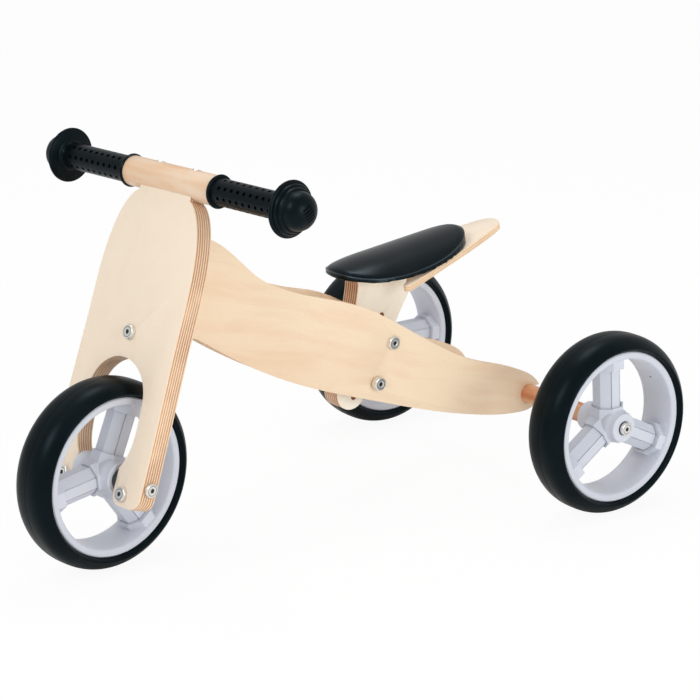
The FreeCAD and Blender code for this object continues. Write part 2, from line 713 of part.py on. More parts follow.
def countersunk_screws():
    back = -BOARD_T / 2 - BRACKET_T
    screw = spin_x([(-17, 0), (-15, 1.9), (-2.2, 1.9), (0, 4.0), (0, 0)])
    return [aim(screw, on_board(x, 151, back), BOARD_FRONT * -1) for x in (-8.5, 8.5)]


def steering_pin():
    top = HEAD_HIGH + BUSH_FLANGE_T + FACE_GAP + BRACKET_T
    pin = rod(AXLE_R, side(PIVOT_AHEAD, 189.5), side(PIVOT_AHEAD, top))
    head = aim(hex_bar(13, 5.3), side(PIVOT_AHEAD, top), V(0, 0, 1))
    return pin.fuse(head).removeSplitter()


def steering_nut():
    top = HEAD_LOW - BUSH_FLANGE_T - FACE_GAP - BRACKET_T
    return aim(hex_nut(13, 6.5, AXLE_R), side(PIVOT_AHEAD, top), V(0, 0, -1))


def bracket_bolt():
    reach = BOARD_T + BRACKET_T + 5.5
    return aim(disc_bolt(reach), on_board(0, BRACKET_BOLT_S, BOARD_T / 2), BOARD_FRONT)


def bracket_nut():
    seat = on_board(0, BRACKET_BOLT_S, -BOARD_T / 2 - BRACKET_T)
    return aim(hex_nut(10, 5, SHANK_R), seat, BOARD_FRONT * -1)


def front_axle():
    axle = rod(AXLE_R, on_board(-60, 0), on_board(60, 0))
    for x in (-1, 1):
        axle = axle.cut(rod(SHANK_R, on_board(x * 40, 0), on_board(x * 61, 0)))
    return axle


def front_axle_bolts():
    return group([aim(disc_bolt(24), on_board(x * FOOT_HALF, 0), V(x, 0, 0)) for x in (-1, 1)])


def front_axle_washers():
    washers = []
    for x in (-1, 1):
        hub_face = HUB_OUT if x > 0 else HUB_IN
        washers.append(tube(10, AXLE_R, on_board(x * (hub_face + FACE_GAP), 0), on_board(x * FOOT_IN, 0)))
    return group(washers)


def foot_cross_bolts():
    return group([aim(disc_bolt(BOARD_T - 2), on_board(x * CROSS_X, CROSS_S, BOARD_T / 2), BOARD_FRONT)
                  for x in (-1, 1)])


def foot_cross_nuts():
    cap = spin_x([(0, 0), (0, HEAD_R), (2.2, HEAD_R), (3, HEAD_R - 0.8), (3, 0)])
    return group([aim(cap, on_board(x * CROSS_X, CROSS_S, -BOARD_T / 2), BOARD_FRONT * -1) for x in (-1, 1)])


# ---- assembly -----------------------------------------------------------------------------------
def frame_parts():
    dowels = head_dowels()
    panel = left_panel().cut(dowels)
    panels = [panel, mirror_x(panel)]
    tall_post = seat_post()
    whole_tail = tail_board(tall_post)
    saddle = saddle_body()
    board = saddle_board().cut(whole_tail)
    return {
        "left_side_panel": panels[0],
        "right_side_panel": panels[1],
        "head_block": head_block().cut(dowels),
        "head_dowels": dowels,
        "head_bushes": head_bushes(),
        "seat_post": tall_post.cut(saddle).cut(seat_dowels()),
        "seat_spacers": seat_spacers(panels),
        "seat_bolts": seat_bolts(),
        "seat_sleeve_nuts": seat_sleeve_nuts(),
        "seat_dowels": seat_dowels(),
        "tail_board": whole_tail.cut(tail_screws()),
        "tail_screws": tail_screws(),
        "saddle_board": board.cut(seat_dowels()).cut(tail_screws()),
        "saddle_cushion": saddle.cut(board).cut(whole_tail).cut(tail_screws()),
        "rear_axle_beam": rear_axle_beam(),
        "rear_axle_bolts": rear_axle_bolts(),
        "rear_thrust_washers": rear_thrust_washers(),
    }


def fork_parts():
    board = fork_board().cut(group(countersunk_screws())).cut(handlebar_screws())
    straight = {
        "fork_board": board,
        "handlebar": handlebar(),
        "handlebar_screws": handlebar_screws(),
        "grip_left": place_grip(1),
        "grip_right": place_grip(-1),
        "steering_bracket": steering_bracket(),
        "bracket_bolt": bracket_bolt(),
        "bracket_nut": bracket_nut(),
        "bracket_screws": group(countersunk_screws()),
        "steering_pin": steering_pin(),
        "steering_nut": steering_nut(),
        "front_axle": front_axle(),
        "front_axle_bolts": front_axle_bolts(),
        "front_axle_washers": front_axle_washers(),
        "foot_cross_bolts": foot_cross_bolts(),
        "foot_cross_nuts": foot_cross_nuts(),
    }
    return {name: steered(shape) for name, shape in straight.items()}


def main():
    os.makedirs("parts", exist_ok=True)
    parts = frame_parts()
    parts.update(fork_parts())
    parts.update(wheel("front", place_front))
    parts.update(wheel("rear_left", place_rear_left))
    parts.update(wheel("rear_right", place_rear_right))
    low, high = V(1e9, 1e9, 1e9), V(-1e9, -1e9, -1e9)
    for name, shape in parts.items():
        shape.exportStep(f"parts/{name}.step")
        box = shape.optimalBoundingBox()
        low = V(min(low.x, box.XMin), min(low.y, box.YMin), min(low.z, box.ZMin))
        high = V(max(high.x, box.XMax), max(high.y, box.YMax), max(high.z, box.ZMax))
        print(f"{name:22s} solids {len(shape.Solids)} valid {shape.isValid()} {shape.Volume / 1000:8.2f} cm3")
    print("box", low, high, "nodes", len(parts))


main()
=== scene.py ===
"""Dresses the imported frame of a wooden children's tricycle: wood, wheels, grips, saddle and studio.

Lengths are in metres. X runs across the tricycle, -Y forwards and Z up.
"""

import cmath
import json
import math

import bpy
from mathutils import Matrix, Vector
from mathutils.bvhtree import BVHTree
from mathutils.geometry import interpolate_bezier

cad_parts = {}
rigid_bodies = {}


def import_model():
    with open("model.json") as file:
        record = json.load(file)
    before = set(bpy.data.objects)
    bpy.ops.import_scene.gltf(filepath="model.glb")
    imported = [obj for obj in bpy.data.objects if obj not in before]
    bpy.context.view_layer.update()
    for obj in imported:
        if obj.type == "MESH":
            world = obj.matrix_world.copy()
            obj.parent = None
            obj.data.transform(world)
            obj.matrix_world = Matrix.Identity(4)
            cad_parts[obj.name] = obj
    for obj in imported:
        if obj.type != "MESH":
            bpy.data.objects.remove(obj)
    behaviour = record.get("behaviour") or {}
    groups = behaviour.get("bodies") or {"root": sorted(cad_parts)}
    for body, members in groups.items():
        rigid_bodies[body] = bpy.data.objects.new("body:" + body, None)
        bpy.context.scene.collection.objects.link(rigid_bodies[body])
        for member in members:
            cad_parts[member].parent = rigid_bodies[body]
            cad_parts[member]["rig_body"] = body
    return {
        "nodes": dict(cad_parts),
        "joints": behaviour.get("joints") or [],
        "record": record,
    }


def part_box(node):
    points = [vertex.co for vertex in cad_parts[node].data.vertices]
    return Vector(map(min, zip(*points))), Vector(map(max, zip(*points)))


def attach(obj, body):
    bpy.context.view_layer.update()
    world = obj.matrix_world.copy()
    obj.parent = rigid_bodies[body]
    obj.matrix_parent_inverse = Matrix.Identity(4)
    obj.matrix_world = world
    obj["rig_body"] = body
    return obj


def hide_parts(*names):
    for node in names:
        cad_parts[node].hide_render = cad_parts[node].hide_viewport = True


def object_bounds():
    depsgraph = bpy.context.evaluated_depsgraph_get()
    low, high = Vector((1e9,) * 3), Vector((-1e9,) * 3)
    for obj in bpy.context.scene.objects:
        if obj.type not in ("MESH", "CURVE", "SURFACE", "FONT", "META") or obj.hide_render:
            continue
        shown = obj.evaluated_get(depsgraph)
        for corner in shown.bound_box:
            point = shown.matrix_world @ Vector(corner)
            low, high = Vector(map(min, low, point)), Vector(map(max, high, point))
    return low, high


bl_info = {
    "name": "Children's tricycle",
    "version": (1, 0, 0),
    "blender": (4, 5, 0),
    "location": "3D View > Sidebar > Tricycle",
    "description": "Wood, wheels, grips, saddle and studio for the tricycle's frame",
    "category": "Object",
}

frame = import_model()
CAD_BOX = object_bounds()
NODES = frame["nodes"]
JOINTS = {joint["name"]: joint for joint in frame["joints"]}
SLOTS = {part["node"]: part["material_slot"] for part in frame["record"]["subparts"]}
WHEELS = ("front", "rear_left", "rear_right")
SIDEWAYS = Vector((1, 0, 0))
FORWARDS = Vector((0, -1, 0))
UP = Vector((0, 0, 1))
REAR = Vector(JOINTS["rear_left_wheel_spin"]["pos_m"])
FRONT_AXIS = Vector(JOINTS["front_wheel_spin"]["axis"])
CREASE = 32                 # degrees past which an edge of a CAD copy stays sharp


def rgb(red, green, blue):
    """A colour written as a screen shows it, from 0 to 255, as linear RGBA."""
    def linear(value):
        part = value / 255
        return part / 12.92 if part <= 0.04045 else ((part + 0.055) / 1.055) ** 2.4
    return (linear(red), linear(green), linear(blue), 1.0)


# ---- sizes and colours that a user would change ---------------------------------------------
def length(name, description, default):
    return bpy.props.FloatProperty(name=name, description=description, default=default, unit="LENGTH")


def angle(name, description, degrees):
    return bpy.props.FloatProperty(name=name, description=description, default=math.radians(degrees),
                                   subtype="ANGLE")


def colour(name, description, default):
    return bpy.props.FloatVectorProperty(name=name, description=description, default=default, size=4,
                                         subtype="COLOR", min=0, max=1)


class TricycleWood(bpy.types.PropertyGroup):
    board: colour("Fork board", "Face veneer of the fork board and the tail board", rgb(241, 226, 205))
    # painted light: the post's veneer is lighter than the fork board's, to make up for the saddle's
    # shadow on it
    post: colour("Seat post", "Face veneer of the seat post", rgb(255, 250, 234))
    panel: colour("Side panels", "Face veneer of the bent side panels", rgb(246, 223, 192))
    streak: colour("Streaks", "Darker streaks in every veneer", rgb(232, 186, 144))
    ply_light: colour("Long plies", "Plies cut along their grain", rgb(253, 225, 188))
    ply_dark: colour("Cross plies", "Plies cut across their grain", rgb(188, 104, 62))
    glue: colour("Glue lines", "Thin lines between the plies", rgb(104, 46, 24))
    bar: colour("Handlebar", "Turned dowel of the handlebar", rgb(230, 206, 181))
    axle: colour("Axle", "Turned dowel of the rear axle", rgb(222, 176, 130))
    corner: length("Corner", "Radius that sanding leaves on the boards' corners", 0.0007)


class TricycleRubber(bpy.types.PropertyGroup):
    tyre: colour("Tyres", "Foam rubber of the tyres", rgb(3, 10, 13))
    tyre_half: length("Tyre's half width", "From a tyre's middle to its side", 0.0242)
    grip: colour("Grips", "Soft plastic of the grips", rgb(3, 9, 12))
    saddle: colour("Saddle", "Coated fabric of the saddle", rgb(4, 8, 10))
    dimple: length("Dimple", "Radius of a dimple in the grips", 0.0018)
    dimple_pitch: length("Dimple pitch", "From one dimple to the next along a grip", 0.0082)
    puff: length("Puff", "Furthest that the padding swells", 0.0022)
    droop: length("Droop", "How far the saddle's nose rounds down", 0.005)
    seam: length("Seam", "Radius of the seam round the saddle", 0.0008)


class TricycleWheels(bpy.types.PropertyGroup):
    plastic: colour("Plastic", "Rims, spokes and hubs", rgb(212, 216, 226))
    steel: colour("Steel", "Bolts and screws", rgb(236, 235, 230))
    ring: length("Ring", "Radius of the groove round a bolt's head", 0.0003)


class TricycleStudio(bpy.types.PropertyGroup):
    backdrop: colour("Backdrop", "Floor and backdrop", (1, 1, 1, 1))
    lens: bpy.props.FloatProperty(name="Lens", description="Focal length in millimetres",
                                  default=128.76, unit="CAMERA")
    azimuth: angle("Azimuth", "Camera's bearing round the tricycle", 52.42)
    elevation: angle("Elevation", "Camera's height above the level", 16.702)
    roll: angle("Roll", "Turn of the camera about its own line of sight", 0.283)
    place: bpy.props.FloatVectorProperty(name="Place", description="Where the camera stands",
                                         default=(1.8434, -1.3626, 0.8486), subtype="TRANSLATION")


# ---- shader maths -----------------------------------------------------------------------------
class Output:
    """A node's output, with arithmetic that adds Math nodes."""

    def __init__(self, paint, socket):
        self.paint = paint
        self.socket = socket

    def maths(self, operation, *values):
        """A Math node on outputs and numbers."""
        return self.paint.node("ShaderNodeMath", dict(enumerate(values)), operation=operation)

    def __add__(self, other):
        return self.maths("ADD", self, other)

    def __radd__(self, other):
        return self.maths("ADD", other, self)

    def __sub__(self, other):
        return self.maths("SUBTRACT", self, other)

    def __rsub__(self, other):
        return self.maths("SUBTRACT", other, self)

    def __mul__(self, other):
        return self.maths("MULTIPLY", self, other)

    def __rmul__(self, other):
        return self.maths("MULTIPLY", other, self)

    def __mod__(self, other):
        return self.maths("FLOORED_MODULO", self, other)

    def __abs__(self):
        return self.maths("ABSOLUTE", self)

    def floor(self):
        return self.maths("FLOOR", self)

    def ease(self, low, high):
        """0 below low, 1 above high, and smooth between."""
        return self.paint.node("ShaderNodeMapRange", {"Value": self, "From Min": low, "From Max": high},
                               interpolation_type="SMOOTHSTEP")


class Paint:
    """The nodes of a material or a world, written as expressions on their outputs."""

    def __init__(self, block):
        self.block = block
        block.use_nodes = True
        self.tree = block.node_tree
        self.tree.nodes.clear()

    def node(self, kind, inputs, output=0, **settings):
        """Adds a node: its settings come first, then the values or links of its sockets."""
        made = self.tree.nodes.new(kind)
        for name, value in settings.items():
            setattr(made, name, value)
        for key, value in inputs.items():
            if isinstance(value, Output):
                self.tree.links.new(value.socket, made.inputs[key])
            else:
                made.inputs[key].default_value = value
        return Output(self, made.outputs[output])

    def place(self, turn=None):
        """Object coordinates, seen along axes turned by a rotation."""
        found = self.node("ShaderNodeTexCoord", {}, "Object")
        if turn is None:
            return found
        return self.node("ShaderNodeMapping", {"Vector": found, "Rotation": turn.to_euler()},
                         vector_type="TEXTURE")

    def noise(self, vector, scale, detail=2.0, roughness=0.5):
        """Noise from 0 to 1, in features per metre: one scale, or one for each axis."""
        if not isinstance(scale, tuple):
            scale = (scale, scale, scale)
        scaled = self.node("ShaderNodeVectorMath", {0: vector, 1: scale}, operation="MULTIPLY")
        return self.node("ShaderNodeTexNoise", {"Vector": scaled, "Scale": 1.0,
                                                "Detail": detail, "Roughness": roughness})

    def attribute(self, name):
        """A number that the mesh keeps for each of its points."""
        return self.node("ShaderNodeAttribute", {}, "Fac", attribute_name=name)

    def mix(self, factor, first, second):
        """A colour between two colours."""
        return self.node("ShaderNodeMix", {0: factor, 6: first, 7: second}, 2, data_type="RGBA")

    def bump(self, height, distance, strength):
        """A relief, its height in metres."""
        return self.node("ShaderNodeBump", {"Height": height, "Distance": distance,
                                            "Strength": strength}, "Normal")

    def finish(self, **sockets):
        """Ends in a Principled shader, its sockets named with underscores for their spaces."""
        inputs = {name.replace("_", " "): value for name, value in sockets.items()}
        return self.end(self.node("ShaderNodeBsdfPrincipled", inputs, "BSDF"))

    def end(self, surface, kind="ShaderNodeOutputMaterial"):
        """Links the last shader to the output and gives back what was painted."""
        out = self.tree.nodes.new(kind)
        self.tree.links.new(surface.socket, out.inputs["Surface"])
        return self.block


def new_paint(name):
    """A new material with no nodes yet."""
    return Paint(bpy.data.materials.new(name))


def toned(base, times, plus=0.0):
    """A colour made lighter or darker."""
    return tuple(min(1, part * times + plus) for part in base[:3]) + (1,)


# ---- wood -------------------------------------------------------------------------------------
def veneer(paint, place, base, streak, strength):
    """Rotary-cut birch with its grain along Z: slow clouds, slanting streaks, fine fibres and pores."""
    sway = (paint.noise(place, (14, 14, 9), detail=1.0) - 0.5) * 0.03
    shift = paint.node("ShaderNodeCombineXYZ", {0: sway, 1: sway, 2: 0.0})
    bent = paint.node("ShaderNodeVectorMath", {0: place, 1: shift}, operation="ADD")
    clouds = paint.noise(place, (10, 10, 5), detail=1.0)
    streaks = paint.noise(bent, (75, 75, 9))
    fibres = paint.noise(bent, (900, 900, 30), detail=3.0, roughness=0.6)
    pores = paint.noise(bent, (1800, 1800, 160), detail=0.0).ease(0.66, 0.8)
    broad = clouds.ease(0.35, 0.75) * 0.10 + streaks.ease(0.42, 0.72) * 0.28
    dark = broad * strength + fibres.ease(0.3, 0.8) * 0.12 + pores * 0.10
    return paint.mix(dark, base, streak), fibres - pores * 0.6


def ply_edge(paint, place, plies, wood, contrast):
    """The plies along a board's edge, from the depth attribute: 0 on one face and 1 on the other."""
    depth = paint.attribute("depth")
    wobble = paint.noise(place, 22) - 0.5
    level = depth * plies + wobble * 0.2
    from_middle = abs(level - level.floor() - 0.5)      # of a ply: 0 in its middle, 0.5 at a glue line
    cross = level.floor() % 2.0                         # every other ply runs across
    fleck = paint.noise(place, 520, detail=3.0, roughness=0.7)
    patch = paint.noise(place, 26)
    core = cross * (1 - from_middle.ease(0.10, 0.45))
    tone = core * (0.40 + fleck * 0.50 + patch * 0.45) * contrast + (1 - core) * fleck * 0.12
    layers = paint.mix(tone, wood.ply_light, wood.ply_dark)
    glue = from_middle.ease(0.34, 0.48) * (patch.ease(0.3, 0.6) * 0.85 + fleck * 0.45) * contrast
    face = abs(depth - 0.5).ease(0.485, 0.495)
    return face, paint.mix(glue, layers, wood.glue), cross * fleck


def plywood(name, wood, base, turn, plies, contrast, streaks):
    """Lacquered birch plywood: veneer on its faces and plies round its edges."""
    paint = new_paint(name)
    place = paint.place(turn)
    skin, grain = veneer(paint, place, base, wood.streak, streaks)
    face, edge, open_grain = ply_edge(paint, place, plies, wood, contrast)
    relief = grain * face + (1 - face) * open_grain * 2.0
    return paint.finish(Base_Color=paint.mix(face, edge, skin),
                        Roughness=0.42 + (1 - face) * 0.2 - grain * 0.06,
                        Coat_Weight=0.12 * face, Coat_Roughness=0.3,
                        Normal=paint.bump(relief, 0.00012, 0.5))


def turned_wood(name, base, streak, turn=Matrix.Identity(3)):
    """A lacquered dowel, with its grain along Z before the turn."""
    paint = new_paint(name)
    skin, grain = veneer(paint, paint.place(turn), base, streak, 2.4)
    return paint.finish(Base_Color=skin, Roughness=0.40 - grain * 0.06, Coat_Weight=0.15,
                        Coat_Roughness=0.3, Normal=paint.bump(grain, 0.00015, 0.5))


# ---- plastics, rubber and steel -----------------------------------------------------------------
def moulded_plastic(base):
    """Satin light grey nylon: faint flow clouds and a fine spark-eroded skin."""
    paint = new_paint("wheel_plastic")
    place = paint.place()
    flow = paint.noise(place, 40, detail=3.0)
    skin = paint.noise(place, 2500, detail=1.0)
    return paint.finish(Base_Color=paint.mix(flow * 0.25, base, toned(base, 0.82)),
                        Roughness=0.30 + flow * 0.10, Normal=paint.bump(skin, 0.00004, 0.25))


def rubber(name, base, rough, grain, gloss, wear=0.0):
    """Black rubber with a fine grain, a cool gloss, and dust where it has rolled or been held."""
    paint = new_paint(name)
    place = paint.place()
    skin = paint.noise(place, grain, roughness=0.6)
    clouds = paint.noise(place, 28, detail=3.0, roughness=0.6)
    dust = clouds.ease(0.35, 0.8) * (0.25 + wear)
    return paint.finish(Base_Color=paint.mix(dust, base, toned(base, 2.2, plus=0.003)),
                        Roughness=rough + clouds * 0.10, Specular_IOR_Level=gloss,
                        Specular_Tint=(0.6, 0.85, 1.0, 1.0), Normal=paint.bump(skin, 0.0001, 0.3))


def plated_steel(base):
    """Zinc-plated steel, slightly mottled, with turning marks, and with painted shade in grooves and
    sockets, where it is also rougher and less metallic.
    """
    paint = new_paint("zinc_steel")
    place = paint.place()
    mottle = paint.noise(place, 350, detail=3.0, roughness=0.6)
    marks = paint.noise(place, 1800, detail=1.0)
    tone = paint.mix(mottle * 0.3, base, toned(base, 0.7))
    # painted shade: sockets and ring grooves are painted dark, as if in their own shadow
    grease = paint.attribute("grease")
    return paint.finish(Base_Color=paint.mix(grease, tone, rgb(28, 26, 24)), Metallic=1.0 - grease,
                        Roughness=0.24 + mottle * 0.12 + grease * 0.3,
                        Normal=paint.bump(marks, 0.00003, 0.3))


def plain_nylon():
    """Dark nylon of the bushes and washers."""
    paint = new_paint("nylon")
    haze = paint.noise(paint.place(), 500)
    return paint.finish(Base_Color=paint.mix(haze, rgb(38, 39, 42), rgb(52, 54, 58)),
                        Roughness=0.5 + haze * 0.1)


# ---- modelling helpers ---------------------------------------------------------------------------
def pick(*pieces):
    """Object mode, with only these pieces selected and the first one active."""
    if bpy.context.object and bpy.context.object.mode != "OBJECT":
        bpy.ops.object.mode_set(mode="OBJECT")
    bpy.ops.object.select_all(action="DESELECT")
    for piece in pieces:
        piece.select_set(True)
    if pieces:
        bpy.context.view_layer.objects.active = pieces[0]


def modify(piece, kind, **settings):
    """Adds a modifier to a piece and applies it."""
    pick(piece)
    modifier = piece.modifiers.new(kind.title(), kind)
    for name, value in settings.items():
        setattr(modifier, name, value)
    bpy.ops.object.modifier_apply(modifier=modifier.name)


def smooth(piece, degrees):
    """Smooth shading, but for edges that turn more than this."""
    pick(piece)
    bpy.ops.object.shade_smooth_by_angle(angle=math.radians(degrees))


def round_corners(piece, corner):
    """Rounds every edge that turns more than a crease."""
    modify(piece, "BEVEL", width=corner, segments=2, limit_method="ANGLE",
           angle_limit=math.radians(CREASE), use_clamp_overlap=True, miter_outer="MITER_ARC")
    smooth(piece, CREASE)


def belong(piece, body, slot, material, *stands_for):
    """Ends a piece: its finish, the body that carries it and the CAD nodes that it stands for."""
    piece.data.materials.clear()
    piece.data.materials.append(material)
    if stands_for:
        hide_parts(*stands_for)
    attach(piece, body)


def stand_for(node, piece, material):
    """Ends a piece that takes the place of one CAD node, on that node's body."""
    belong(piece, NODES[node]["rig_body"], SLOTS[node], material, node)


def sanded(node, corner=0.0):
    """A copy of a CAD node as one skin, with its corners rounded and its curves shaded smooth."""
    piece = bpy.data.objects.new(f"{node}_finished", NODES[node].data.copy())
    bpy.context.scene.collection.objects.link(piece)
    pick(piece)
    bpy.ops.object.mode_set(mode="EDIT")
    bpy.ops.mesh.select_all(action="SELECT")
    bpy.ops.mesh.customdata_custom_splitnormals_clear()
    bpy.ops.mesh.remove_doubles(threshold=1e-6)
    bpy.ops.mesh.dissolve_limited(angle_limit=math.radians(0.6))
    bpy.ops.object.mode_set(mode="OBJECT")
    if corner:
        round_corners(piece, corner)
    smooth(piece, CREASE)
    return piece


def main_normal(node, towards):
    """The normal of the node's flat face that looks a certain way."""
    for likeness in (0.8, 0.98, 0.9999):
        total = Vector((0, 0, 0))
        for face in NODES[node].data.polygons:
            if face.normal.dot(towards) > likeness:
                total += face.normal * face.area
        towards = total.normalized()
    return towards


def board_axes():
    """The fork board's own directions: square to its front, and up along it."""
    front = main_normal("fork_board", FORWARDS)
    return front, (UP - front * front.z).normalized()


def store(piece, name, values):
    """Keeps one number for each point, as an attribute that a material can read."""
    piece.data.attributes.new(name, "FLOAT", "POINT").data.foreach_set("value", values)


def mark_depth(piece, outward):
    """Stores how deep each point of a flat board lies between its two faces, 0 to 1, for the plies."""
    heights = [vert.co.dot(outward) for vert in piece.data.vertices]
    low, high = min(heights), max(heights)
    store(piece, "depth", [(height - low) / (high - low) for height in heights])


def mark_bent_depth(piece, node, outward):
    """Stores the same for a bent board, from the distances to its two skins."""
    raw = NODES[node].data
    points = [vert.co for vert in raw.vertices]
    skins = []
    for way in (-1, 1):
        chosen = [face.vertices[:] for face in raw.polygons if face.normal.dot(outward) * way > 0.95]
        skins.append(BVHTree.FromPolygons(points, chosen))
    depths = []
    for vert in piece.data.vertices:
        inner, outer = (skin.find_nearest(vert.co)[3] for skin in skins)
        depths.append(inner / max(inner + outer, 1e-9))
    store(piece, "depth", depths)


def surface_of(piece):
    """A piece's faces, to find the nearest place on them."""
    return BVHTree.FromPolygons([vert.co for vert in piece.data.vertices],
                                [face.vertices[:] for face in piece.data.polygons])


def drawn(name, outline):
    """A line of edges in edit mode, from one point through an outline's points."""
    pick()
    bpy.ops.mesh.primitive_plane_add(size=0.001, location=(0, 0, 0))
    piece = bpy.context.object
    piece.name = name
    bpy.ops.object.mode_set(mode="EDIT")
    bpy.ops.mesh.merge(type="CENTER")
    bpy.ops.transform.translate(value=outline[0])
    for start, end in zip(outline, outline[1:]):
        step = tuple(b - a for a, b in zip(start, end))
        bpy.ops.mesh.extrude_vertices_move(TRANSFORM_OT_translate={"value": step})
    bpy.ops.mesh.select_all(action="SELECT")
    return piece


def lathe(name, outline, steps):
    """A turned shape about X, from its outline of (x, r) points."""
    piece = drawn(name, [(x, 0, r) for x, r in outline])
    bpy.ops.mesh.spin(steps=steps, angle=math.tau, center=(0, 0, 0), axis=(1, 0, 0))
    bpy.ops.mesh.select_all(action="SELECT")
    bpy.ops.mesh.remove_doubles(threshold=1e-6)
    bpy.ops.mesh.normals_make_consistent(inside=False)
    bpy.ops.object.mode_set(mode="OBJECT")
    return piece


def slab(name, outline, thick):
    """A flat board below Z = 0, from its outline of (x, y) points."""
    piece = drawn(name, [(x, y, 0) for x, y in outline])
    bpy.ops.mesh.edge_face_add()
    bpy.ops.mesh.extrude_region_move(TRANSFORM_OT_translate={"value": (0, 0, -thick)})
    bpy.ops.mesh.select_all(action="SELECT")
    bpy.ops.mesh.normals_make_consistent(inside=False)
    bpy.ops.object.mode_set(mode="OBJECT")
    return piece


def curve_through(points):
    """Points along a smooth curve through the given ones, five to a stretch."""
    points = [Vector(point) for point in points]
    padded = [points[0] * 2 - points[1]] + points + [points[-1] * 2 - points[-2]]
    found = [points[0]]
    for before, start, end, after in zip(padded, padded[1:], padded[2:], padded[3:]):
        leave, arrive = (end - before) / 6, (after - start) / 6
        found += interpolate_bezier(start, start + leave, end - arrive, end, 6)[1:]
    return [tuple(point) for point in found]


def arc_points(x, r, radius, start, end, count):
    """Points of an arc about (x, r), in degrees from the axis towards +X, ends included."""
    turns = [math.radians(start + (end - start) * k / count) for k in range(count + 1)]
    return [(x + radius * math.cos(turn), r + radius * math.sin(turn)) for turn in turns]


def copied(piece, name, place):
    """A copy with its own mesh, moved to a place."""
    twin = bpy.data.objects.new(name, piece.data.copy())
    twin.data.transform(place)
    bpy.context.scene.collection.objects.link(twin)
    return twin


def repeated(pattern, places):
    """One object out of copies of a pattern, one at each place; the pattern itself goes."""
    copies = [copied(pattern, f"{pattern.name}_{k}", place) for k, place in enumerate(places)]
    bpy.data.objects.remove(pattern)
    pick(*copies)
    bpy.ops.object.join()
    return copies[0]


def cut(piece, cutter):
    """Takes the cutter's shape out of a piece and removes the cutter."""
    modify(piece, "BOOLEAN", operation="DIFFERENCE", object=cutter, solver="EXACT")
    bpy.data.objects.remove(cutter)


def heading(axis):
    """A turn about Z that brings X to an axis."""
    return Matrix.Rotation(math.atan2(axis.y, axis.x), 4, "Z")


def wheel_place(wheel):
    """From a wheel's own centre and axis along X to where the wheel stands."""
    joint = JOINTS[f"{wheel}_wheel_spin"]
    return Matrix.Translation(joint["pos_m"]) @ heading(Vector(joint["axis"]))


class SaddleForm:
    """A saddle in its own axes: X across, Y to the rear and Z square to it.

    Its middle stands ahead of the rear axle, at a height over the floor, and it rises to the rear.
    Its underside is dished lengthwise, and its top falls away to both sides.
    """

    def __init__(self, ahead, height, slope, half_long, half_wide, thick, dish_r, crown_r, top_dished):
        self.frame = (Matrix.Translation((0, REAR.y - ahead, height))
                      @ Matrix.Rotation(math.atan(slope), 4, "X"))
        self.home = self.frame.inverted()
        self.half_long, self.half_wide, self.thick = half_long, half_wide, thick
        self.dish_r, self.crown_r, self.top_dished = dish_r, crown_r, top_dished

    def under(self, y):
        """Height of the dished underside."""
        return self.dish_r - math.sqrt(self.dish_r ** 2 - y ** 2)

    def over(self, x, y):
        """Height of the crowned top."""
        fall = self.crown_r - math.sqrt(self.crown_r ** 2 - x ** 2)
        return self.thick - fall + (self.under(y) if self.top_dished else 0.0)

    def above_under(self, place):
        """How far a place lies above the underside."""
        return place.z - self.under(place.y)

    def share(self, place):
        """How far up a place lies, from 0 on the underside to 1 on the top."""
        return self.above_under(place) / (self.over(place.x, place.y) - self.under(place.y))

    def at(self, x, y, share):
        """The point at a share of the way from the underside to the top."""
        low = self.under(y)
        return self.frame @ Vector((x, y, low + share * (self.over(x, y) - low)))

    def scaled_from(self, old, place):
        """X and Y of a place in another form, stretched to this one's plan."""
        return place.x * self.half_wide / old.half_wide, place.y * self.half_long / old.half_long

    def moved_from(self, old, point):
        """Where a point lies that keeps its height over the underside of another form."""
        place = old.home @ point
        x, y = self.scaled_from(old, place)
        return self.frame @ Vector((x, y, self.under(y) + old.above_under(place)))

    def shaped_from(self, old, point):
        """Where a point lies that keeps its share of the thickness of another form."""
        place = old.home @ point
        return self.at(*self.scaled_from(old, place), old.share(place))


# the plain saddle of the frame, and the fuller and flatter one that stands for it
CAD_SADDLE = SaddleForm(ahead=0.1167, height=0.2262, slope=0.168, half_long=0.0790,
                        half_wide=0.0432, thick=0.0114, dish_r=0.303, crown_r=0.260, top_dished=True)
PADDED_SADDLE = SaddleForm(ahead=0.1178, height=0.2269, slope=0.1235, half_long=0.0797,
                           half_wide=0.0425, thick=0.0219, dish_r=0.360, crown_r=0.066,
                           top_dished=False)
# the tail board's top: its rise to the rear, and its height over the floor ahead of the rear axle
TAIL_SLOPE = 0.24
TAIL_AHEAD, TAIL_HEIGHT = 0.060, 0.2394
TAIL_THICK = 0.0064
TAIL_NORMAL = Vector((0, -TAIL_SLOPE, 1)).normalized()
TAIL_PLACE = Matrix(((1, 0, 0, 0), (0, 1, TAIL_NORMAL.y, REAR.y),
                     (0, TAIL_SLOPE, TAIL_NORMAL.z, TAIL_HEIGHT + TAIL_AHEAD * TAIL_SLOPE),
                     (0, 0, 0, 1)))


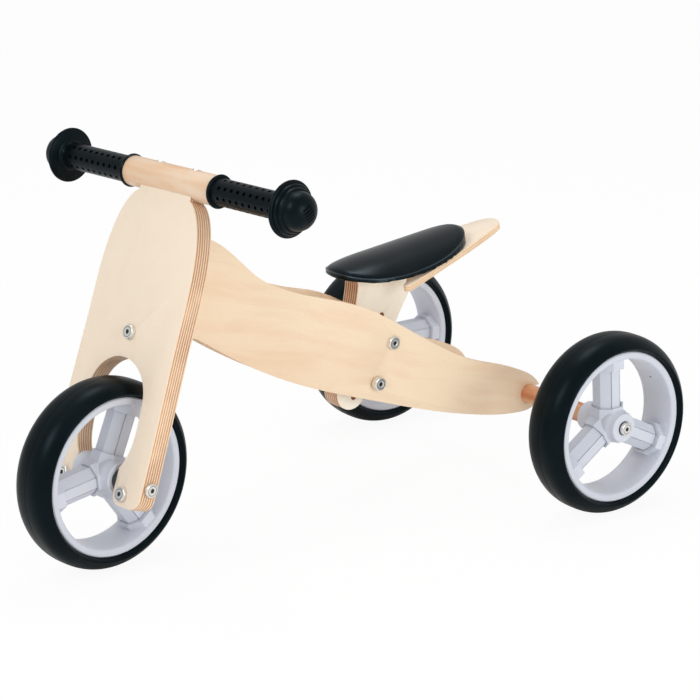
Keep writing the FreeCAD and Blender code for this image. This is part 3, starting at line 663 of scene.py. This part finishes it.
# ---- the pieces ---------------------------------------------------------------------------------
class TRICYCLE_OT_plywood(bpy.types.Operator):
    """Fork board, side panels, seat post and tail board, with plies round their edges"""
    bl_idname = "tricycle.plywood"
    bl_label = "Plywood"

    # directions of the veneer's grain, in degrees about the X axis from upright
    panel_grain, post_grain = 73, -25
    edge_high = 0.0012                  # so far the post's upper edge reaches from the saddle

    def execute(self, context):
        wood = context.scene.tricycle_wood
        front, up = board_axes()
        turn = Matrix((up.cross(front) * -1, front * -1, up)).transposed()
        fork = sanded("fork_board", wood.corner)
        mark_depth(fork, front)
        skin = plywood("fork_plywood", wood, wood.board, turn, plies=13, contrast=1.0, streaks=0.25)
        stand_for("fork_board", fork, skin)

        turn = Matrix.Rotation(math.radians(self.panel_grain), 3, "X")
        for side in ("left", "right"):
            node = f"{side}_side_panel"
            panel = sanded(node, wood.corner)
            mark_bent_depth(panel, node, SIDEWAYS)
            skin = plywood(f"{side}_plywood", wood, wood.panel, turn, plies=7, contrast=0.7, streaks=0.9)
            stand_for(node, panel, skin)

        turn = Matrix.Rotation(math.radians(self.post_grain), 3, "X")
        post = sanded("seat_post", wood.corner)
        mark_depth(post, SIDEWAYS)
        self.raise_top(post)
        # the post's lighter veneer is painted light against the saddle's shadow
        skin = plywood("post_plywood", wood, wood.post, turn, plies=13, contrast=1.5, streaks=0.4)
        stand_for("seat_post", post, skin)

        turn = Matrix.Rotation(math.radians(90) + math.atan(TAIL_SLOPE), 3, "X")
        skin = plywood("tail_plywood", wood, wood.board, turn, plies=5, contrast=0.45, streaks=0.4)
        stand_for("tail_board", self.tail(wood.corner), skin)
        return {"FINISHED"}

    def raise_top(self, post):
        """Brings the post's upper edge, with its rounded corner, up to the padded saddle."""
        for vert in post.data.vertices:
            if abs(CAD_SADDLE.above_under(CAD_SADDLE.home @ vert.co)) < self.edge_high:
                vert.co = PADDED_SADDLE.moved_from(CAD_SADDLE, vert.co)

    def tail(self, corner):
        """A tapering tongue that straddles the post with two prongs and runs on behind the saddle."""
        # from the notch for the post out along a prong and round its tip, then back along the side
        prong = curve_through([(0.0105, -0.110), (0.022, -0.124), (0.0375, -0.139)])
        prong += [(x, -ahead) for ahead, x in arc_points(0.140, 0.042, 0.00455, -90, 90, 8)]
        waist = [(0.0366, -0.092), (0.0300, -0.060), (0.0235, -0.034),
                 (0.0178, -0.014), (0.0112, 0.0005)]
        right = [prong[-1]] + waist
        edge = curve_through(right + [(0.0, 0.0060)] + self.mirrored(right))
        board = slab("tail_board_ply", prong + edge[1:-1] + self.mirrored(prong), TAIL_THICK)
        modify(board, "BEVEL", width=corner, segments=2, limit_method="ANGLE",
               angle_limit=math.radians(40))
        mark_depth(board, UP)
        board.data.transform(TAIL_PLACE)
        smooth(board, 40)
        return board

    def mirrored(self, points):
        """The other half of an outline, walked back."""
        return [(-point[0], point[1]) for point in reversed(points)]


class TRICYCLE_OT_dowels(bpy.types.Operator):
    """Handlebar and rear axle"""
    bl_idname = "tricycle.dowels"
    bl_label = "Dowels"

    def execute(self, context):
        wood = context.scene.tricycle_wood
        along_x = Matrix.Rotation(math.radians(90), 3, "Y")
        along_bar = heading(FRONT_AXIS).to_3x3() @ along_x
        for node, base, streak, turn in (("handlebar", wood.bar, wood.axle, along_bar),
                                         ("rear_axle_beam", wood.axle, wood.ply_dark, along_x)):
            stand_for(node, sanded(node, 0.0006), turned_wood(f"{node}_wood", base, streak, turn))
        return {"FINISHED"}


class TRICYCLE_OT_wheels(bpy.types.Operator):
    """Rims, octagonal spokes and hubs"""
    bl_idname = "tricycle.wheels"
    bl_label = "Wheels"

    spoke_half = 0.013                  # half of the octagonal spokes' width across their flats
    half_side = math.radians(22.5)      # of an octagon, seen from its middle
    socket_out, collar_in = 0.0185, 0.0575      # radii where the hub's sockets end and collars begin
    mouth_gap, mouth_deep = 0.0005, 0.0025
    mouth_over = 0.0004                 # so much longer is the cutter than the mouth is deep
    groove_wide, groove_deep = 0.0010, 0.0016
    rim_corner, hub_corner = 0.0004, 0.0005
    lip_from, lip_out = 0.0150, 0.0017  # what lies further out than this moves outwards by that

    def execute(self, context):
        plastic = moulded_plastic(context.scene.tricycle_wheels.plastic)
        for wheel in WHEELS:
            turns = self.spoke_turns(wheel)
            rim = sanded(f"{wheel}_rim")
            self.widen(rim, wheel_place(wheel))
            cut(rim, self.mouths(turns, self.collar_in, self.collar_in + self.mouth_deep))
            round_corners(rim, self.rim_corner)
            stand_for(f"{wheel}_rim", rim, plastic)
            spokes = sanded(f"{wheel}_spokes")
            cut(spokes, self.grooves(turns))
            smooth(spokes, CREASE)
            stand_for(f"{wheel}_spokes", spokes, plastic)
            hub = sanded(f"{wheel}_hub")
            cut(hub, self.mouths(turns, self.socket_out - self.mouth_deep, self.socket_out))
            round_corners(hub, self.hub_corner)
            stand_for(f"{wheel}_hub", hub, plastic)
        return {"FINISHED"}

    def spoke_turns(self, wheel):
        """From a spoke that stands up along Z at the wheel's middle to where each of the three is."""
        place = wheel_place(wheel)
        home = place.inverted()
        thirds = 0
        for vert in NODES[f"{wheel}_spokes"].data.vertices:
            local = home @ vert.co
            thirds += cmath.rect(1, 3 * math.atan2(local.z, local.y))
        first = cmath.phase(thirds) / 3 - math.radians(90)
        return [place @ Matrix.Rotation(first + math.radians(120 * k), 4, "X") for k in range(3)]

    def mouths(self, turns, low, high):
        """Octagonal cutters a little wider than the spokes, from one radius to another."""
        radius = (self.spoke_half + self.mouth_gap) / math.cos(self.half_side)
        long = high - low + self.mouth_over
        bpy.ops.mesh.primitive_cylinder_add(vertices=8, radius=radius, depth=long)
        stand = Matrix.Translation((0, 0, (low + high) / 2)) @ Matrix.Rotation(self.half_side, 4, "Z")
        return repeated(bpy.context.object, [turn @ stand for turn in turns])

    def grooves(self, turns):
        """Thin cutters along the edges of each spoke's outer and inner faces."""
        long = self.collar_in - self.socket_out
        out = Matrix.Translation((self.spoke_half / math.cos(self.half_side), 0,
                                  self.socket_out + long / 2))
        size = Matrix.Diagonal((2 * self.groove_deep, self.groove_wide, long, 1))
        corners = (self.half_side, -self.half_side, math.pi - self.half_side, self.half_side - math.pi)
        bpy.ops.mesh.primitive_cube_add(size=1)
        return repeated(bpy.context.object, [turn @ Matrix.Rotation(corner, 4, "Z") @ out @ size
                                             for turn in turns for corner in corners])

    def widen(self, rim, place):
        """Moves the rim's lips outwards, to either side."""
        home = place.inverted()
        for vert in rim.data.vertices:
            local = home @ vert.co
            if abs(local.x) > self.lip_from:
                local.x += math.copysign(self.lip_out, local.x)
                vert.co = place @ local


class TRICYCLE_OT_tyres(bpy.types.Operator):
    """Foam rubber tyres with round shoulders and a parting line"""
    bl_idname = "tricycle.tyres"
    bl_label = "Tyres"

    crown_drop = 0.0107                 # from the tread down to the ridge by the rim
    lip_r, lip_x = 0.0743, 0.0196       # where the tyre meets the rim's lip
    seat_r, seat_x = 0.0705, 0.0172     # its foot, inside the rim

    def execute(self, context):
        sizes = context.scene.tricycle_rubber
        material = rubber("tyre_rubber", sizes.tyre, rough=0.30, grain=1400, gloss=0.12, wear=0.1)
        low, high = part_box("rear_left_tyre")
        pattern = lathe("tyre", self.section((high.z - low.z) / 2, sizes.tyre_half), 160)
        for wheel in WHEELS:
            tyre = copied(pattern, f"{wheel}_tyre_rubber", wheel_place(wheel))
            smooth(tyre, 40)
            belong(tyre, f"{wheel}_wheel", "tyre_foam", material, f"{wheel}_tyre")
        bpy.data.objects.remove(pattern)
        return {"FINISHED"}

    def section(self, wheel_r, half_w):
        """Half of a section from the crown to the rim, then mirrored; the tread has a parting line."""
        ridge_r = wheel_r - self.crown_drop
        across = [half_w * k / 22 for k in range(1, 22)]
        half = [(0.0, wheel_r - 0.0004), (0.0003, wheel_r)]
        half += [(x, wheel_r - self.crown_drop * (x / half_w) ** 3) for x in across]
        ridge = [(0.0003, 0.0004), (0.0, -0.0002), (0.0003, -0.0009), (0.0011, -0.0013),
                 (0.0014, -0.0019), (0.0020, -0.0021)]
        half += [(half_w - inwards, ridge_r + rise) for inwards, rise in ridge]
        half += [(self.lip_x + 0.0011, self.lip_r + 0.0009), (self.lip_x + 0.0004, self.lip_r + 0.0002)]
        half += [(self.lip_x, self.lip_r), (self.seat_x, self.lip_r), (self.seat_x, self.seat_r)]
        return [(-x, r) for x, r in reversed(half[1:])] + half + [(-self.seat_x, self.seat_r)]


class TRICYCLE_OT_grips(bpy.types.Operator):
    """Dimpled grips with stepped flanges and domed ends"""
    bl_idname = "tricycle.grips"
    bl_label = "Grips"

    # radii, and places along the bar from its middle
    bore_r, guard_r, barrel_r, flange_r, dome_r = 0.0095, 0.0148, 0.0125, 0.0245, 0.0176
    guard_x, flange_x, dome_x, tip_x = 0.058, 0.1495, 0.162, 0.176
    bore_end = 0.164
    ring_from, ring_pitch, rings = 0.0674, 0.0041, 19   # edge loops along the barrel
    dimple_from, dimple_rows, dimples_in_row = 0.0705, 8, 9
    dimple_turn = math.radians(-78)                     # of the first row
    dimple_pin = 0.0036                                 # half of it goes into the barrel
    groove_r, groove_long, groove_pitch, groove_count = 0.0008, 0.010, 0.0030, 5
    groove_x = 0.1755
    groove_fall = 22.7                                  # the dome's fall from its tip, per metre
    groove_tilt = math.radians(28)

    def execute(self, context):
        sizes = context.scene.tricycle_rubber
        material = rubber("grip_rubber", sizes.grip, rough=0.28, grain=1100, gloss=0.14)
        low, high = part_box("handlebar")
        pattern = lathe("grip", self.outline(), 96)
        cut(pattern, self.dimples(sizes))
        cut(pattern, self.dome_grooves())
        for node, way in (("grip_left", 1), ("grip_right", -1)):
            place = Matrix.Translation((low + high) / 2) @ heading(FRONT_AXIS * way)
            grip = copied(pattern, f"{node}_rubber", place)
            smooth(grip, 40)
            belong(grip, "fork", "grip_rubber", material, node)
        bpy.data.objects.remove(pattern)
        return {"FINISHED"}

    def outline(self):
        """A guard, a barrel, a stepped flange and a domed end, from the bar's middle outwards."""
        guard = [(self.guard_x, self.bore_r), (self.guard_x, self.guard_r)]
        guard += arc_points(0.0600, 0.0141, 0.0015, 120, 0, 6)
        barrel = [(0.0617, self.barrel_r + 0.0002), (0.0625, self.barrel_r)]
        barrel += [(self.ring_from + self.ring_pitch * k, self.barrel_r) for k in range(self.rings)]
        barrel += [(0.147, self.barrel_r), (0.1486, 0.0135), (self.flange_x, 0.016)]
        flange = [(self.flange_x, self.flange_r)] + arc_points(0.1512, 0.0241, 0.0017, 160, 10, 7)
        steps = [(0.1531, 0.0228), (0.1549, 0.0229), (0.1560, 0.0222), (0.1563, 0.0204)]
        steps += [(0.1579, 0.0204), (0.1592, 0.0197), (0.1597, 0.0180)]
        turns = [math.radians(9 * k) for k in range(10)]
        dome = [(self.dome_x + (self.tip_x - self.dome_x) * math.sin(turn), self.dome_r * math.cos(turn))
                for turn in turns]
        bore = [(self.tip_x, 0.0), (self.bore_end, 0.0), (self.bore_end, self.bore_r)]
        return guard + barrel + flange + steps + dome + bore

    def dimples(self, sizes):
        """Round pins along and round the barrel, as one cutter."""
        bpy.ops.mesh.primitive_cylinder_add(vertices=16, radius=sizes.dimple, depth=self.dimple_pin)
        out = Matrix.Translation((0, 0, self.barrel_r))
        turns = [self.dimple_turn + math.tau * row / self.dimple_rows for row in range(self.dimple_rows)]
        steps = [self.dimple_from + k * sizes.dimple_pitch for k in range(self.dimples_in_row)]
        return repeated(bpy.context.object,
                        [Matrix.Translation((x, 0, 0)) @ Matrix.Rotation(turn, 4, "X") @ out
                         for turn in turns for x in steps])

    def dome_grooves(self):
        """Thin slanting bars across the tip of the dome, as one cutter."""
        bpy.ops.mesh.primitive_cylinder_add(vertices=12, radius=self.groove_r, depth=self.groove_long)
        tilt = Matrix.Rotation(self.groove_tilt, 4, "X")
        lying = Matrix.Rotation(math.radians(90), 4, "X")
        places = []
        for k in range(self.groove_count):
            off = self.groove_pitch * (k - (self.groove_count - 1) / 2)
            x = self.groove_x - self.groove_fall * off ** 2
            places.append(tilt @ Matrix.Translation((x, 0, off)) @ lying)
        return repeated(bpy.context.object, places)


class TRICYCLE_OT_saddle(bpy.types.Operator):
    """Padded saddle, swollen by a short cloth simulation, with a seam along its edge and its board"""
    bl_idname = "tricycle.saddle"
    bl_label = "Saddle"

    frames = 20                         # of the cloth simulation
    grain = 0.0022                      # size of the pad's first faces
    held_near = 0.0026                  # the pad is held where it is this near to its board
    tail_gap = 0.0002                   # left between the saddle and the tail board
    seam_points, seam_up = 180, 0.85    # the seam's share of the way from the underside to the top

    def execute(self, context):
        sizes = context.scene.tricycle_rubber
        wood = context.scene.tricycle_wood
        board = sanded("saddle_board")
        for vert in board.data.vertices:
            vert.co = self.off_tail(PADDED_SADDLE.moved_from(CAD_SADDLE, vert.co))
        stand_for("saddle_board", board, turned_wood("saddle_core", wood.board, wood.streak))

        pad = self.pad(context.scene, sizes, board)
        stand_for("saddle_cushion", pad,
                  rubber("saddle_cover", sizes.saddle, rough=0.20, grain=1600, gloss=0.22))

        sheen = rubber("saddle_seam", sizes.saddle, rough=0.14, grain=1600, gloss=0.9)
        belong(self.seam(pad, sizes), "frame", SLOTS["saddle_cushion"], sheen)
        return {"FINISHED"}

    def pad(self, scene, sizes, board):
        """The cushion, drawn in and blown up again."""
        pad = sanded("saddle_cushion")
        pad.name = "saddle_pad"
        modify(pad, "REMESH", mode="VOXEL", voxel_size=self.grain, adaptivity=0.0)
        for vert in pad.data.vertices:
            point = self.drooped(PADDED_SADDLE.shaped_from(CAD_SADDLE, vert.co), sizes.droop)
            vert.co = self.off_tail(point)
        pad.data.update()
        self.mark_held(pad, board)
        modify(pad, "DISPLACE", strength=-sizes.puff * 0.5, mid_level=0.0, vertex_group="free")
        self.swell(scene, pad, sizes.puff)
        modify(pad, "SMOOTH", factor=0.5, iterations=3)
        modify(pad, "SMOOTH", factor=0.5, iterations=3, vertex_group="free")
        modify(pad, "SUBSURF", levels=1, render_levels=1)
        smooth(pad, 50)
        return pad

    def drooped(self, point, droop):
        """Lowers the nose in a smooth curve, its top the most."""
        place = PADDED_SADDLE.home @ point
        start = 0.4 * PADDED_SADDLE.half_long
        front = max(0.0, (-place.y - start) / (PADDED_SADDLE.half_long - start))
        upper = max(0.0, min(1.0, PADDED_SADDLE.share(place) * 1.4 - 0.2))
        place.z -= droop * front ** 2 * upper
        return PADDED_SADDLE.frame @ place

    def off_tail(self, point):
        """Keeps a point above the tail board."""
        local = TAIL_PLACE.inverted() @ point
        if local.z < self.tail_gap:
            local.z = self.tail_gap
            return TAIL_PLACE @ local
        return point

    def mark_held(self, pad, board):
        """Holds the underside and what lies against the board; the rest is free to swell."""
        wall = surface_of(board)
        held = pad.vertex_groups.new(name="held")
        free = pad.vertex_groups.new(name="free")
        up = PADDED_SADDLE.frame.to_3x3() @ UP
        for vert in pad.data.vertices:
            near = wall.find_nearest(vert.co)[3] < self.held_near
            looks_down = vert.normal.dot(up) < -0.3
            group = held if near or looks_down else free
            group.add([vert.index], 1.0, "REPLACE")

    def swell(self, scene, pad, most):
        """Blows the cover up a little as cloth under pressure; no point moves further than most."""
        pick(pad)
        start = [vert.co.copy() for vert in pad.data.vertices]
        cloth = pad.modifiers.new("Cloth", "CLOTH")
        cloth.settings.quality = 5
        cloth.settings.use_pressure = True
        cloth.settings.uniform_pressure_force = 4.0
        cloth.settings.tension_stiffness = 40
        cloth.settings.compression_stiffness = 40
        cloth.settings.bending_stiffness = 8
        cloth.settings.effector_weights.gravity = 0
        cloth.settings.vertex_group_mass = "held"
        cloth.collision_settings.use_self_collision = False
        cloth.point_cache.frame_end = self.frames
        for number in range(1, self.frames + 1):
            scene.frame_set(number)
        bpy.ops.object.modifier_apply(modifier=cloth.name)
        scene.frame_set(1)
        for vert, old in zip(pad.data.vertices, start):
            move = vert.co - old
            if move.length > most:
                vert.co = old + move * (most / move.length)

    def seam(self, pad, sizes):
        """A thin bead round the upper edge, laid on the finished pad."""
        surface = surface_of(pad)
        pick()
        bpy.ops.mesh.primitive_circle_add(vertices=self.seam_points, radius=1.0)
        bead = bpy.context.object
        bead.name = "saddle_seam"
        for k, vert in enumerate(bead.data.vertices):
            turn = math.tau * k / self.seam_points
            c, s = math.cos(turn), math.sin(turn)
            full = 1 + 0.09 * c + 0.20 * c ** 2 + 0.07 * c ** 3         # an egg, blunt at the nose
            x, y = PADDED_SADDLE.half_wide * s * full, -PADDED_SADDLE.half_long * c
            guess = self.drooped(PADDED_SADDLE.at(x, y, self.seam_up), sizes.droop)
            vert.co = surface.find_nearest(guess)[0]
        bpy.ops.object.convert(target="CURVE")
        bead.data.bevel_depth = sizes.seam
        bead.data.bevel_resolution = 2
        bpy.ops.object.convert(target="MESH")
        smooth(bead, 60)
        return bead


class TRICYCLE_OT_hardware(bpy.types.Operator):
    """Bolts, screws, washers, bushes and the parts that show little"""
    bl_idname = "tricycle.hardware"
    bl_label = "Hardware"

    head_apart = 0.016                  # two heads of one node are further apart than this
    socket_r, socket_deep = 0.0026, 0.006
    # painted shade: how dark a socket or a groove is painted
    grease = 0.9                        # how dark it makes a socket or a groove
    screw_rise = 0.001                  # how much further the handlebar's screws stand up

    def execute(self, context):
        wood = context.scene.tricycle_wood
        wheels = context.scene.tricycle_wheels
        steel = plated_steel(wheels.steel)
        front, up = board_axes()
        for node, ring_r, outward in (("seat_bolts", 0.0046, [SIDEWAYS]),
                                      ("seat_sleeve_nuts", 0.0046, [-SIDEWAYS]),
                                      ("rear_axle_bolts", 0.0044, [SIDEWAYS, -SIDEWAYS]),
                                      ("front_axle_bolts", 0.0046, [FRONT_AXIS, -FRONT_AXIS]),
                                      ("bracket_bolt", 0.0046, [front]),
                                      ("foot_cross_bolts", 0.0046, [front])):
            stand_for(node, self.bolts(node, ring_r, outward, wheels.ring), steel)
        screws = sanded("handlebar_screws", 0.0003)
        screws.data.transform(Matrix.Translation(up * self.screw_rise))
        stand_for("handlebar_screws", screws, steel)
        core = turned_wood("birch_core", wood.board, wood.streak)
        finishes = {"zinc_steel": steel, "nylon": plain_nylon(),
                    "birch_core": core, "beech_dowel": core}
        for node, piece in NODES.items():
            if not piece.hide_render:
                piece.data.materials.clear()
                piece.data.materials.append(finishes[SLOTS[node]])
        return {"FINISHED"}

    def bolts(self, node, ring_r, outward, groove):
        """A bolt node with a ring groove round each head, and with painted shade in its sockets and ring
        grooves.
        """
        piece = sanded(node, 0.0003)
        heads = self.heads(node, outward)
        pick()
        bpy.ops.mesh.primitive_torus_add(major_segments=48, minor_segments=8, major_radius=ring_r,
                                         minor_radius=groove)
        ring = bpy.context.object
        facing = [Matrix.Translation(centre) @ way.to_track_quat("Z", "Y").to_matrix().to_4x4()
                  for centre, way in heads]
        cut(piece, repeated(ring, facing))
        # marks the points in sockets and ring grooves, where shade is painted
        store(piece, "grease", [self.grease if self.in_painted_shade(vert.co, heads, ring_r, groove) else 0.0
                                for vert in piece.data.vertices])
        smooth(piece, CREASE)
        return piece

    def heads(self, node, outward):
        """The middle of each head's outer face; the bolts all look along one of the directions."""
        mesh = NODES[node].data
        found = []
        for way in outward:
            furthest = max(vert.co.dot(way) for vert in mesh.vertices)
            rest = [vert.co for vert in mesh.vertices if furthest - vert.co.dot(way) < 2e-5]
            while rest:
                group = [point for point in rest if (point - rest[0]).length < self.head_apart]
                rest = [point for point in rest if (point - rest[0]).length >= self.head_apart]
                low = Vector(min(point[k] for point in group) for k in range(3))
                high = Vector(max(point[k] for point in group) for k in range(3))
                found.append(((low + high) / 2, way))
        return found

    def in_painted_shade(self, point, heads, ring_r, groove):
        """Whether a point lies in a head's socket or in its ring groove, where shade is painted."""
        for centre, way in heads:
            arm = point - centre
            depth = -arm.dot(way)
            off = (arm + way * depth).length
            in_groove = abs(off - ring_r) < groove * 1.1
            if 0.0001 < depth < self.socket_deep and (off < self.socket_r or in_groove):
                return True
        return False


class TRICYCLE_OT_studio(bpy.types.Operator):
    """Pale floor, white backdrop, soft lamps and the camera"""
    bl_idname = "tricycle.studio"
    bl_label = "Studio"

    # name, place, side in metres and power in watts
    soft_lamps = (("key", (0.3, -2.4, 2.0), 1.0, 22),
                  ("fill", (2.8, 0.2, 0.9), 1.2, 23),
                  ("top", (-0.6, 0.4, 2.6), 1.0, 14))
    floor_glow, sky_light = 0.93, 0.66

    def execute(self, context):
        studio = context.scene.tricycle_studio
        scene = context.scene
        scene.view_settings.view_transform = "Standard"
        self.floor(studio)
        self.world(scene)
        self.lamps(scene)
        self.camera(scene, studio)
        return {"FINISHED"}

    def floor(self, studio):
        """A floor that catches faint shadows and is otherwise as white as the backdrop."""
        pick()
        bpy.ops.mesh.primitive_plane_add(size=12, location=(0, 0, -0.0005))
        floor = bpy.context.object
        floor.name = "floor"
        paint = new_paint("floor")
        lit = paint.node("ShaderNodeBsdfDiffuse", {"Color": (0.9, 0.9, 0.9, 1)})
        white = paint.node("ShaderNodeEmission", {"Color": studio.backdrop, "Strength": 1.0})
        seen = paint.node("ShaderNodeLightPath", {}, "Is Camera Ray")
        shown = paint.node("ShaderNodeMixShader", {0: seen * self.floor_glow, 1: lit, 2: white})
        floor.data.materials.append(paint.end(shown))

    def world(self, scene):
        """White to the camera, and dimmer as light on the tricycle."""
        paint = Paint(bpy.data.worlds.new("studio"))
        direct = paint.node("ShaderNodeLightPath", {}, "Is Camera Ray")
        through = paint.node("ShaderNodeLightPath", {}, "Is Transmission Ray")
        strength = paint.node("ShaderNodeMapRange", {"Value": direct.maths("MAXIMUM", direct, through),
                                                     "To Min": self.sky_light})
        sky = paint.node("ShaderNodeBackground", {"Color": (1, 1, 1, 1), "Strength": strength})
        scene.world = paint.end(sky, "ShaderNodeOutputWorld")

    def lamps(self, scene):
        aim = (CAD_BOX[0] + CAD_BOX[1]) / 2
        for name, place, side, power in self.soft_lamps:
            lamp = bpy.data.lights.new(name, "AREA")
            lamp.size = side
            lamp.energy = power
            holder = bpy.data.objects.new(name, lamp)
            holder.location = place
            holder.rotation_euler = (aim - Vector(place)).to_track_quat("-Z", "Y").to_euler()
            scene.collection.objects.link(holder)

    def camera(self, scene, studio):
        az, el = studio.azimuth, studio.elevation
        back = Vector((math.sin(az) * math.cos(el), -math.cos(az) * math.cos(el), math.sin(el)))
        right = Vector((math.cos(az), math.sin(az), 0))
        axes = Matrix((right, back.cross(right), back)).transposed()
        camera = bpy.data.cameras.new("camera")
        camera.lens = studio.lens
        camera.sensor_width = 36
        camera.clip_end = 50
        holder = bpy.data.objects.new("camera", camera)
        turn = axes @ Matrix.Rotation(studio.roll, 3, "Z")
        holder.matrix_world = Matrix.Translation(studio.place) @ turn.to_4x4()
        scene.collection.objects.link(holder)
        scene.camera = holder


# ---- add-on ---------------------------------------------------------------------------------------
PIECES = (TRICYCLE_OT_plywood, TRICYCLE_OT_dowels, TRICYCLE_OT_wheels, TRICYCLE_OT_tyres,
          TRICYCLE_OT_grips, TRICYCLE_OT_saddle, TRICYCLE_OT_hardware, TRICYCLE_OT_studio)
SETTINGS = {"tricycle_wood": TricycleWood, "tricycle_rubber": TricycleRubber,
            "tricycle_wheels": TricycleWheels, "tricycle_studio": TricycleStudio}


class TRICYCLE_PT_panel(bpy.types.Panel):
    """Lists the tricycle's settings and pieces"""
    bl_idname = "TRICYCLE_PT_panel"
    bl_label = "Tricycle"
    bl_space_type = "VIEW_3D"
    bl_region_type = "UI"
    bl_category = "Tricycle"

    def draw(self, context):
        for name in SETTINGS:
            group = getattr(context.scene, name)
            box = self.layout.box()
            for setting in group.bl_rna.properties:
                if not setting.is_readonly and setting.identifier != "name":
                    box.prop(group, setting.identifier)
        for piece in PIECES:
            self.layout.operator(piece.bl_idname)


def register():
    for group in (*SETTINGS.values(), *PIECES, TRICYCLE_PT_panel):
        bpy.utils.register_class(group)
    for name, group in SETTINGS.items():
        setattr(bpy.types.Scene, name, bpy.props.PointerProperty(type=group))


def unregister():
    for name in SETTINGS:
        delattr(bpy.types.Scene, name)
    for group in reversed((*SETTINGS.values(), *PIECES, TRICYCLE_PT_panel)):
        bpy.utils.unregister_class(group)


def main():
    register()
    bpy.ops.object.select_all(action="DESELECT")
    bpy.ops.tricycle.plywood()
    bpy.ops.tricycle.dowels()
    bpy.ops.tricycle.wheels()
    bpy.ops.tricycle.tyres()
    bpy.ops.tricycle.grips()
    bpy.ops.tricycle.saddle()
    bpy.ops.tricycle.hardware()
    bpy.ops.tricycle.studio()


if __name__ == "__main__":
    main()
